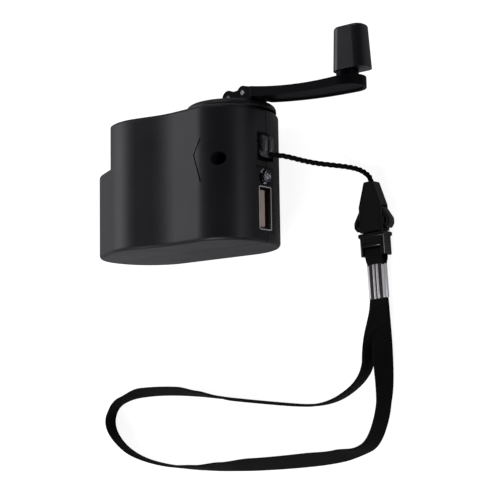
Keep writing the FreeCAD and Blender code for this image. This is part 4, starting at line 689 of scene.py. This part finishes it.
# Each material slot has a finish of its name. The others are for pieces that differ from
# their slot.
FINISHES = {
    "case_plastic": case_abs,
    "crank_plastic": lambda: crank_abs("Crank ABS", 0.42, 0.1, 0.04),
    "knob_grip": lambda: crank_abs("Knob ABS", 0.32, 0.3, 0.5),
    "buckle_plastic": buckle_acetal,
    "cord_black": lambda: braid("Braided cord", 1.0, 0.00006),
    # The hitch: the black cord painted sixteen times paler, as painted light on its strands in
    # the pocket.
    "hitch_cord_painted_lit": lambda: braid("Hitch cord painted paler", 16.0, 0.00003, specular=0.8, rough=(0.28, 0.42)),
    "webbing_black": lambda: band("Woven webbing", 1.0, 0.18),
    "tab_webbing": lambda: band("Tab webbing", 1.3, 1.0),
    "dark_pin": lambda: metal("Blackened steel", (0.10, 0.10, 0.105), 0.3),
    "bright_steel": lambda: metal("Turned steel", (0.66, 0.65, 0.63), 0.18),
    "zinc_screw": lambda: metal("Zinc screw", (0.42, 0.42, 0.43), 0.34),
    # The shell's nickel, painted dark as shade inside the socket.
    "socket_metal": lambda: metal("Nickel sheet painted shade", (0.22, 0.21, 0.20), 0.4),
    # The same nickel painted near white on the sheet's front edge: a painted highlight.
    "socket_rim_highlight": lambda: metal("Nickel edge painted highlight", (0.93, 0.91, 0.88), 0.36, metallic=0.8),
    "socket_insulator": lambda: moulded("Beige insulator", (0.56, 0.45, 0.38), 0.45, 0.0005,
                                        0.000006),
    "contact_gold": lambda: metal("Gold flash", (0.83, 0.62, 0.28), 0.2),
    "lamp_lens": lambda: clear_epoxy("Clear epoxy", (0.60, 0.62, 0.70), 0.03),
    # A white ball seen through the lamp's dome: a painted highlight.
    "lamp_glint_ball": lambda: moulded("Glint ball painted white", (0.92, 0.92, 0.94), 0.25, depth=0.000004),
    "gear_nylon": lambda: moulded("Natural nylon", (0.70, 0.68, 0.60), 0.42, 0.0007),
    "plate_plastic": lambda: moulded("Grey plate", (0.075, 0.076, 0.082), 0.48, 0.0005),
    "brass_part": lambda: metal("Turned brass", (0.72, 0.52, 0.24), 0.26),
    "motor_can": lambda: metal("Drawn steel can", (0.55, 0.55, 0.56), 0.32),
    "motor_cap": lambda: moulded("Motor cap", (0.022, 0.022, 0.023), 0.45, 0.0006),
    "magnet_grey": lambda: moulded("Sintered ferrite", (0.055, 0.055, 0.06), 0.6, 0.0003,
                                   0.00003),
    "lamination_steel": lambda: metal("Stacked laminations", (0.36, 0.36, 0.37), 0.42,
                                      scale=9000.0),
    "copper_wire": lambda: metal("Enamelled copper", (0.62, 0.24, 0.10), 0.28, depth=0.00003,
                                 scale=7000.0),
    "board_green": lambda: moulded("Solder mask", (0.012, 0.09, 0.04), 0.32, 0.0016, 0.00001),
    "chip_black": lambda: moulded("Chip epoxy", (0.015, 0.015, 0.016), 0.5, 0.0003),
    "can_aluminium": lambda: metal("Aluminium can", (0.62, 0.62, 0.64), 0.26),
    "lead_black": lambda: moulded("Black lead", (0.012, 0.012, 0.012), 0.45, 0.0008),
    "lead_red": lambda: moulded("Red lead", (0.32, 0.015, 0.015), 0.42, 0.0008),
    # The crimp's metal, painted dark on the sleeve as shade between the ridges.
    "shaded_crimp_sleeve": lambda: metal("Crimp sleeve painted dark", (0.09, 0.075, 0.075), 0.4),
    "crimp_chrome": lambda: metal("Polished crimp", (0.95, 0.93, 0.92), 0.25, depth=0.0000008,
                                  variation=0.02, tarnish=0.96, metallic=0.2),
}
MATERIALS = {}


def finish_for(finish):
    """The material of a finish, made once."""
    if finish not in MATERIALS:
        MATERIALS[finish] = FINISHES[finish]()
    return MATERIALS[finish]


# --- Operators: the stage and the camera ---
class CHARGER_OT_stage(bpy.types.Operator):
    """Sets up the camera, the pale floor and the soft lights"""
    bl_idname = "charger.stage"
    bl_label = "Stage"

    CAMERA_PLACE = Vector((292.748, -76.690, 336.170)) * MM
    CAMERA_RIGHT = Vector((0.76392, -0.01601, -0.64512))
    CAMERA_UP = Vector((0.09697, 0.99119, 0.09023))
    CAMERA_BACK = Vector((0.63799, -0.13148, 0.75874))
    FLOOR_SIZE = 6.0
    FLOOR_DROP = 0.05 * MM          # so that it doesn't meet the faces that lie on it
    FLOOR_SEEN = 0.91               # glow of the floor in the camera's view
    FLOOR_MIRRORED = 0.06           # and where it is mirrored or seen through glass
    AIR_COLOUR = (0.92, 0.92, 1.0, 1.0)
    AIR_STRENGTH = 0.09
    LIGHT_COLOUR = (0.95, 0.94, 1.0)
    LIGHTS_AIM = Vector((0.01, -0.02, 0.01))
    # (name, place, width and height, watts)
    LIGHTS = [
        ("key_box", (-0.762, 0.15, 0.533), (0.9, 0.32), 2.95),
        ("low_box", (-0.889, 0.15, 0.272), (0.9, 0.295), 0.85),
        ("far_box", (0.0, 0.82, 0.50), (0.6, 0.5), 1.2),
        ("near_box", (-0.10, -0.82, 0.50), (0.6, 0.5), 4.3),
        ("end_box", (0.95, -0.10, 0.14), (0.3, 0.2), 1.3),
    ]

    def execute(self, context):
        settings = context.scene.charger_stage
        turned = Matrix((self.CAMERA_RIGHT, self.CAMERA_UP, self.CAMERA_BACK)).transposed()
        bpy.ops.object.camera_add(location=self.CAMERA_PLACE)
        camera = context.object
        camera.name = "studio_camera"
        camera.matrix_world = Matrix.Translation(self.CAMERA_PLACE) @ turned.to_4x4()
        camera.data.lens = settings.lens
        camera.data.sensor_width = 36.0
        camera.data.clip_start = 0.01
        camera.data.dof.use_dof = False
        context.scene.camera = camera
        self.make_floor(settings)
        self.make_lights(context)
        context.scene.view_settings.view_transform = "Standard"
        return {"FINISHED"}

    def make_floor(self, settings):
        floor = added(bpy.ops.mesh.primitive_plane_add, "studio_floor", size=self.FLOOR_SIZE,
                      location=(0, 0, -self.FLOOR_DROP))
        material, tree, shader = start_material("Studio floor", settings.floor_colour, 0.9,
                                                specular=0.1)
        path = new_node(tree, "ShaderNodeLightPath")
        mirrored = math_node(tree, "MAXIMUM", path.outputs["Is Glossy Ray"],
                             path.outputs["Is Transmission Ray"])
        glow = math_node(tree, "MAXIMUM",
                         product(tree, path.outputs["Is Camera Ray"], self.FLOOR_SEEN),
                         product(tree, mirrored, self.FLOOR_MIRRORED))
        feed_all(tree, shader, Emission_Strength=glow, Emission_Color=(1.0, 1.0, 1.0, 1.0))
        floor.data.materials.append(material)

    def make_lights(self, context):
        world = bpy.data.worlds.new("Studio air")
        context.scene.world = world
        world.use_nodes = True
        feed_all(world.node_tree, world.node_tree.nodes["Background"], Color=self.AIR_COLOUR,
                 Strength=self.AIR_STRENGTH)
        for name, place, size, power in self.LIGHTS:
            bpy.ops.object.light_add(type="AREA", location=place)
            lamp = context.object
            lamp.name = name
            lamp.data.shape = "RECTANGLE"
            lamp.data.size, lamp.data.size_y = size
            lamp.data.energy = power
            lamp.data.color = self.LIGHT_COLOUR
            aim = self.LIGHTS_AIM - Vector(place)
            lamp.rotation_euler = aim.to_track_quat("-Z", "Y").to_euler()


# --- Operators: lanyard cord and wrist strap ---
class CHARGER_OT_lanyard_cord(bpy.types.Operator):
    """Lays three thin strands together from the pocket to the buckle"""
    bl_idname = "charger.lanyard_cord"
    bl_label = "Lanyard cord"

    STRANDS = 3
    STRAND_SHARE = 0.31             # radius of a strand, of the cord's diameter
    STRAND_OFFSET = 0.9             # of a strand from the cord's middle, in its radii

    def execute(self, context):
        settings = context.scene.charger_lanyard
        line = route_line("cord_route", CORD_ROUTE, 0.4 * MM)
        ahead, sides = carried_frames(line)
        lengths = run_lengths(line)
        radius = settings.cord_diameter * self.STRAND_SHARE
        strands = []
        for k in range(self.STRANDS):
            places = []
            for point, way, side, far in zip(line, ahead, sides, lengths):
                angle = 2 * math.pi * (k / self.STRANDS + far / settings.strand_pitch)
                offset = side * math.cos(angle) + way.cross(side) * math.sin(angle)
                places.append(point + offset * (radius * self.STRAND_OFFSET))
            strands.append(round_rope("cord_strand", places, radius, 12))
        cord = joined(strands, "lanyard_strands")
        settle(cord, "case", "cord_black", ["lanyard_cord"])
        return {"FINISHED"}


class CHARGER_OT_wrist_strap(bpy.types.Operator):
    """Runs the webbing loop from the crimp, round and back, leaning as it stands"""
    bl_idname = "charger.wrist_strap"
    bl_label = "Wrist strap"

    REST = 0.12 * MM                # gap between its lower edge and the floor
    LEAVING_TWIST_RUN = 30.0 * MM
    RETURNING_TWIST_RUN = 19.0 * MM
    IN_CRIMP = 5.0 * MM             # how far each end runs into the crimp
    LAYERS_APART = 1.05             # of the two layers in the crimp, in thicknesses
    PAST_CRIMP, PAST_RISE = 5.0 * MM, 0.4 * MM      # the route's first point past it
    # (share of the loop, lean of the top edge in degrees)
    LEANS = [(0.0, 0), (0.08, -9), (0.14, -12), (0.172, -14), (0.20, -33), (0.24, -41),
             (0.31, -38), (0.35, -25), (0.385, -12), (0.42, -5), (0.48, -8), (0.51, -12),
             (0.55, -13), (0.575, 4), (0.605, 24), (0.66, 25), (0.69, 15), (0.72, 5), (0.74, 0),
             (0.82, 0), (0.86, -6), (0.895, -8), (0.93, 0), (1.0, 0)]
    HINGE = 0.7                     # half widths from its middle down to where it hinges

    def lean_at(self, share):
        """The lean at a share of the loop, eased between the given ones."""
        for (a, low), (b, high) in zip(self.LEANS, self.LEANS[1:]):
            if share <= b:
                t = (share - a) / (b - a)
                t = t * t * (3 - 2 * t)
                return math.radians(low + (high - low) * t)
        return 0.0

    def middle_line(self, settings, mouth):
        """From inside the crimp, round the loop and back on top of its own start."""
        layer = UP * (settings.strap_thickness / 2 * self.LAYERS_APART)
        inside = mouth - LANYARD_DOWN * self.IN_CRIMP
        below = mouth + LANYARD_DOWN * self.PAST_CRIMP + UP * self.PAST_RISE
        middle = self.REST + settings.strap_width / 2
        points = [inside - layer, mouth - layer, below - layer]
        points += [Vector((x, y, middle)) for x, y in STRAP_ROUTE]
        points += [below + layer, mouth + layer, inside + layer]
        return route_line("strap_route", points, 0.8 * MM)

    def turn_at(self, far, length):
        """The webbing's turn: flat in the crimp, on its edge past the twist, flat again."""
        leaving = far < length / 2
        run = self.LEAVING_TWIST_RUN if leaving else self.RETURNING_TWIST_RUN
        from_crimp = min(far, length - far) - self.IN_CRIMP
        turn = math.pi / 2 * max(0.0, min(1.0, from_crimp / run))
        return turn if leaving else math.pi - turn

    def execute(self, context):
        settings = context.scene.charger_lanyard
        mouth = BUCKLE_TOP + LANYARD_DOWN * CRIMP_END
        line = self.middle_line(settings, mouth)
        lengths = run_lengths(line)
        length = lengths[-1]
        outline = flat_oval(settings.strap_width, settings.strap_thickness)
        rings = []
        for point, way, far in zip(line, directions(line), lengths):
            turn, lean = self.turn_at(far, length), self.lean_at(far / length)
            across = Vector((-way.y, way.x, 0)).normalized()
            upright = UP * math.cos(lean) + across * math.sin(lean)
            beside = across * math.cos(lean) - UP * math.sin(lean)
            wide = beside * math.cos(turn) - upright * math.sin(turn)
            wide = (wide - way * wide.dot(way)).normalized()
            thin = way.cross(wide)
            reach = settings.strap_width / 2 * self.HINGE * abs(math.sin(turn))
            middle = point + (upright - UP) * reach
            rings.append([middle + wide * a + thin * b for a, b in outline])
        strap = swept("wrist_strap_webbing", rings)
        settle(strap, "case", "webbing_black", ["wrist_strap"])
        return {"FINISHED"}


# --- Operators: every CAD node's finish ---
class CHARGER_OT_node_finishes(bpy.types.Operator):
    """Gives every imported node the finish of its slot"""
    bl_idname = "charger.node_finishes"
    bl_label = "Node finishes"

    # Nodes whose finish isn't quite that of their slot
    ODD_FINISHES = {"knob": "knob_grip", "crank_hub": "case_plastic", "fold_pin": "dark_pin"}

    def execute(self, context):
        for node, piece in frame["nodes"].items():
            dress(piece, self.ODD_FINISHES.get(node) or NODE_SLOTS[node])
        return {"FINISHED"}


# --- Operators: pieces modelled here ---
class CHARGER_OT_buckle(bpy.types.Operator):
    """Rounds the edges of the buckle's insert and of its two prongs"""
    bl_idname = "charger.buckle"
    bl_label = "Buckle"

    def execute(self, context):
        edge = context.scene.charger_plastic.edge_round
        for node, (name, body) in BUCKLE_PIECES.items():
            piece = machined_copy(node, name, edge, 4)
            settle(piece, body, "buckle_plastic", [node])
        return {"FINISHED"}


def lie_on_lanyard(piece):
    """Moves a piece from the buckle's own frame to where the buckle lies."""
    select_only(piece)
    piece.rotation_euler = (0, 0, LANYARD_TILT)
    piece.location = BUCKLE_TOP
    apply_place()


def block(name, size, centre):
    """A block of the given size round its centre."""
    piece = added(bpy.ops.mesh.primitive_cube_add, name, size=1.0, location=centre)
    piece.scale = size
    apply_place()
    return piece


def rod(name, radius, length, centre):
    """A round bar along Y."""
    piece = added(bpy.ops.mesh.primitive_cylinder_add, name, vertices=32, radius=radius,
                  depth=length, location=centre, rotation=(math.pi / 2, 0, 0))
    apply_place()
    return piece


class CHARGER_OT_crimp(bpy.types.Operator):
    """Presses a metal sleeve with ridges along the webbing"""
    bl_idname = "charger.crimp"
    bl_label = "Crimp"

    EDGE = CRIMP_THICK / 2          # radius of the rounded edges
    EDGE_PROUD = 0.1 * MM           # how far these reach past the solid's half width
    RIDGE_SHARE = 0.34              # radius of a ridge, of the room that it has
    RIDGE_SUNK = 0.3                # of that radius, below the sleeve's face
    RIDGE_SHORT = 0.3 * MM          # how much shorter a ridge is than the sleeve
    RUN_OUT = 0.4                   # rounding of a ridge's ends, of its radius
    LENGTH = CRIMP_END - CRIMP_TOP
    MIDDLE = -(CRIMP_END + CRIMP_TOP) / 2

    def execute(self, context):
        settings = context.scene.charger_lanyard
        sleeve = block("shaded_crimp_sleeve", (2 * (CRIMP_HALF - self.EDGE), self.LENGTH, CRIMP_THICK),
                       (0, self.MIDDLE, 0))
        self.cut_channel(settings, sleeve)
        lie_on_lanyard(sleeve)
        smooth(sleeve, 40)
        # The sleeve gets the dark copy of the crimp's metal: painted shade between the ridges.
        settle(sleeve, "case", "crimp_chrome", ["webbing_crimp"], "shaded_crimp_sleeve")
        ridges = joined([self.make_ridge(settings, *row) for row in self.ridge_rows(settings)],
                        "crimp_ridges")
        lie_on_lanyard(ridges)
        smooth(ridges, 40)
        settle(ridges, "case", "crimp_chrome")
        return {"FINISHED"}

    def cut_channel(self, settings, piece):
        """Cuts the room for the webbing."""
        channel = block("channel", (settings.strap_width, self.LENGTH + 2 * MM,
                                    2 * settings.strap_thickness), (0, self.MIDDLE, 0))
        apply_modifier(piece, "BOOLEAN", "webbing channel", operation="DIFFERENCE",
                       solver="EXACT", object=channel)
        bpy.data.objects.remove(channel)

    def ridge_rows(self, settings):
        """Each ridge's place across and above the webbing, and its radius."""
        edge_at = CRIMP_HALF - self.EDGE + self.EDGE_PROUD
        room = 2 * (edge_at - self.EDGE)
        radius = room / settings.ridge_count * self.RIDGE_SHARE
        rise = CRIMP_THICK / 2 - radius * self.RIDGE_SUNK
        rows = [(side * edge_at, 0.0, self.EDGE) for side in (-1, 1)]
        for k in range(settings.ridge_count):
            across = ((k + 0.5) / settings.ridge_count - 0.5) * room
            rows += [(across, side * rise, radius) for side in (-1, 1)]
        return rows

    def make_ridge(self, settings, across, rise, radius):
        ridge = rod("ridge", radius, self.LENGTH - self.RIDGE_SHORT, (across, self.MIDDLE, rise))
        apply_modifier(ridge, "BEVEL", "run out", width=radius * self.RUN_OUT, segments=4,
                       limit_method="ANGLE", angle_limit=math.radians(60))
        if rise == 0.0:
            self.cut_channel(settings, ridge)
        return ridge


CORNER_STEPS = 5


def flat_oval(width, thickness):
    """Points round a webbing's section: a flat oval with full edges."""
    radius = thickness / 2
    outline = []
    for corner, side in enumerate((1, -1, -1, 1)):
        for k in range(CORNER_STEPS + 1):
            angle = math.pi / 2 * (corner + k / CORNER_STEPS)
            outline.append((side * (width / 2 - radius) + radius * math.cos(angle),
                            radius * math.sin(angle)))
    return outline


class CHARGER_OT_webbing_tab(bpy.types.Operator):
    """Folds a short webbing round the insert's bar, both ends in the crimp"""
    bl_idname = "charger.webbing_tab"
    bl_label = "Webbing tab"

    BAR_GAP = 0.05 * MM             # between the webbing and the bar
    FOLD_IN_SLOT = 0.42 * MM        # from the slot's top to the fold
    THINNED = 0.92                  # the tab's thickness, against the strap's

    def execute(self, context):
        settings = context.scene.charger_lanyard
        thick = settings.strap_thickness
        over = BAR_HALF + thick / 2 + self.BAR_GAP
        fold = SLOT_TOP + self.FOLD_IN_SLOT
        # The upper half's points: how far down the lanyard, and how far above its middle
        upper = [(CRIMP_TOP + 4.0 * MM, thick / 2), (CRIMP_TOP + 0.4 * MM, thick / 2),
                 (CRIMP_TOP - 1.3 * MM, over - 0.1 * MM), (BLOCK_END, over),
                 (BLOCK_END - 1.0 * MM, over), (fold + 0.1 * MM, over + 0.1 * MM),
                 (fold, over * 0.5)]
        places = upper + [(down, -rise) for down, rise in reversed(upper)]
        line = route_line("tab_route", [(0, -down, rise) for down, rise in places], 0.3 * MM)
        outline = flat_oval(settings.strap_width, thick * self.THINNED)
        across = Vector((1, 0, 0))
        rings = [[point + across * a + way.cross(across) * b for a, b in outline]
                 for point, way in zip(line, directions(line))]
        tab = swept("folded_tab", rings)
        lie_on_lanyard(tab)
        settle(tab, "case", "webbing_black", ["webbing_tab"], "tab_webbing")
        return {"FINISHED"}


class CHARGER_OT_cord_hitch(bpy.types.Operator):
    """Loops the doubled cord over the bar in the pocket, caught in one bight"""
    bl_idname = "charger.cord_hitch"
    bl_label = "Cord hitch"

    STEP = 0.3 * MM
    FOOT_BACK = 0.7 * MM            # from the strands' front to the bight
    GATHERED = 0.8                  # how far apart the strands are there, against the bar

    def execute(self, context):
        bar = (BAR_LOW + BAR_HIGH) / 2
        wrap = BAR_HIGH.x - bar.x + HITCH_STRAND + HITCH_PROUD
        foot = Vector((bar.x + wrap - self.FOOT_BACK, CORD_ROUTE[0][1], bar.z))
        ropes = [self.strand(bar, wrap, foot, reach) for reach in (-HITCH_REACH, HITCH_REACH)]
        ropes.append(self.bight(foot))
        hitch = joined(ropes, "looped_hitch")
        # Its finish is the cord painted paler: painted light.
        settle(hitch, "case", "cord_black", ["cord_hitch"], "hitch_cord_painted_lit")
        return {"FINISHED"}

    def strand(self, bar, wrap, foot, reach):
        """One strand, from the foot over the bar and back."""
        height = bar.z + reach
        inward = bar.z + reach * self.GATHERED
        knots = [(foot.x, foot.y - 0.2 * MM, inward),
                 (bar.x + wrap, foot.y + 0.9 * MM, height),
                 (bar.x + wrap, bar.y, height),
                 (bar.x + wrap, bar.y + wrap, height), (bar.x - wrap, bar.y + wrap, height),
                 (bar.x - wrap, bar.y - 0.9 * MM, height),
                 (foot.x - 0.5 * MM, foot.y + 0.2 * MM, inward)]
        return round_rope("hitch_strand", route_line("hitch_route", knots, self.STEP),
                          HITCH_STRAND, 16)

    def bight(self, foot):
        """The bend of cord that catches both strands, full in its middle."""
        span = HITCH_REACH + HITCH_STRAND + 0.5 * MM
        arch = [(foot.x - back, foot.y + back, foot.z + far * span)
                for back, far in ((0.4 * MM, -1), (0, -0.5), (0, 0.5), (0.4 * MM, 1))]
        return round_rope("hitch_bight", route_line("bight_route", arch, self.STEP), BIGHT_R, 18,
                          lambda share: math.sqrt(max(0.02, 1 - abs(2 * share - 1) ** 6)))


class CHARGER_OT_lamp(bpy.types.Operator):
    """Shapes the clear dome of the lamp, and the white ball in it whose image is a painted
    highlight
    """
    bl_idname = "charger.lamp"
    bl_label = "Lamp"

    def execute(self, context):
        middle = (LAMP_LOW + LAMP_HIGH) / 2
        dome = added(bpy.ops.mesh.primitive_uv_sphere_add, "clear_dome", segments=64,
                     ring_count=32, radius=LAMP_DOME, rotation=(0, math.pi / 2, 0))
        apply_place()
        edit_all(dome)
        bpy.ops.mesh.bisect(plane_co=(0, 0, 0), plane_no=(1, 0, 0), clear_inner=True)
        barrel = LAMP_HIGH.x - LAMP_LOW.x - LAMP_DOME - LAMP_FLANGE
        bpy.ops.mesh.extrude_region_move(TRANSFORM_OT_translate={"value": (-barrel, 0, 0)})
        flare = (LAMP_HIGH.y - LAMP_LOW.y) / 2 / LAMP_DOME
        bpy.ops.mesh.extrude_region()
        bpy.ops.transform.resize(value=(1, flare, flare))
        bpy.ops.mesh.extrude_region_move(TRANSFORM_OT_translate={"value": (-LAMP_FLANGE, 0, 0)})
        bpy.ops.mesh.edge_face_add()
        bpy.ops.mesh.select_all(action="SELECT")
        bpy.ops.mesh.normals_make_consistent(inside=False)
        bpy.ops.transform.translate(value=(LAMP_HIGH.x - LAMP_DOME, middle.y, middle.z))
        leave_edit()
        smooth(dome, 40)
        settle(dome, "case", "lamp_lens", ["charge_lamp"])
        self.make_glint_ball(middle)
        return {"FINISHED"}

    def make_glint_ball(self, middle):
        # A white ball seen through the dome, placed so its image is a painted highlight.
        place = (LAMP_HIGH.x - LAMP_DOME + GLINT_BALL_AHEAD, middle.y, middle.z)
        glint_ball = added(bpy.ops.mesh.primitive_uv_sphere_add, "lamp_glint_ball", segments=32,
                     ring_count=16, radius=GLINT_BALL_R)
        bpy.ops.transform.translate(value=place)
        apply_place()
        smooth(glint_ball, 60)
        settle(glint_ball, "case", "lamp_lens", finish="lamp_glint_ball")


class CHARGER_OT_socket(bpy.types.Operator):
    """Breaks the sheet edges of the socket's shell and rounds its tongue"""
    bl_idname = "charger.socket"
    bl_label = "Socket"

    # (node, piece, rounding, segments)
    ROUNDED = [("usb_shell", "socket_shell", 0.07 * MM, 2),
               ("usb_tongue", "socket_tongue", 0.3 * MM, 4)]
    RIM_DEPTH = 0.3 * MM

    def execute(self, context):
        for node, name, edge, segments in self.ROUNDED:
            piece = machined_copy(node, name, edge, segments)
            settle(piece, "case", NODE_SLOTS[node], [node])
        self.part_rim(bpy.data.objects["socket_shell"])
        return {"FINISHED"}

    def part_rim(self, shell):
        """Parts the sheet's front edge from the walls, to give it the painted highlight."""
        front = max(v.co.x for v in shell.data.vertices)
        for face in shell.data.polygons:
            face.select = face.normal.x > 0.3 and face.center.x > front - self.RIM_DEPTH
        edit(shell)
        bpy.ops.mesh.separate(type="SELECTED")
        leave_edit()
        rim = next(piece for piece in bpy.context.selected_objects if piece is not shell)
        rim.name = "socket_rim_highlight"
        settle(rim, "case", "socket_metal", finish="socket_rim_highlight")


OPERATORS = [CHARGER_OT_stage, CHARGER_OT_node_finishes, CHARGER_OT_buckle, CHARGER_OT_crimp,
             CHARGER_OT_webbing_tab, CHARGER_OT_cord_hitch, CHARGER_OT_lamp, CHARGER_OT_socket,
             CHARGER_OT_lanyard_cord, CHARGER_OT_wrist_strap]
SETTINGS = [PlasticSettings, LanyardSettings, StageSettings]


class CHARGER_PT_panel(bpy.types.Panel):
    """Lists the pieces of the charger"""
    bl_idname = "CHARGER_PT_panel"
    bl_label = "Hand crank charger"
    bl_space_type = "VIEW_3D"
    bl_region_type = "UI"
    bl_category = "Charger"

    def draw(self, context):
        for settings in (context.scene.charger_plastic, context.scene.charger_lanyard,
                         context.scene.charger_stage):
            box = self.layout.box()
            for name in settings.__annotations__:
                box.prop(settings, name)
        for operator in OPERATORS:
            self.layout.operator(operator.bl_idname)


def register():
    for kind in SETTINGS + OPERATORS + [CHARGER_PT_panel]:
        bpy.utils.register_class(kind)
    bpy.types.Scene.charger_plastic = PointerProperty(type=PlasticSettings)
    bpy.types.Scene.charger_lanyard = PointerProperty(type=LanyardSettings)
    bpy.types.Scene.charger_stage = PointerProperty(type=StageSettings)


def unregister():
    del bpy.types.Scene.charger_stage
    del bpy.types.Scene.charger_lanyard
    del bpy.types.Scene.charger_plastic
    for kind in reversed(SETTINGS + OPERATORS + [CHARGER_PT_panel]):
        bpy.utils.unregister_class(kind)


def main():
    register()
    for operator in OPERATORS:
        family, name = operator.bl_idname.split(".")
        getattr(getattr(bpy.ops, family), name)()


if __name__ == "__main__":
    main()
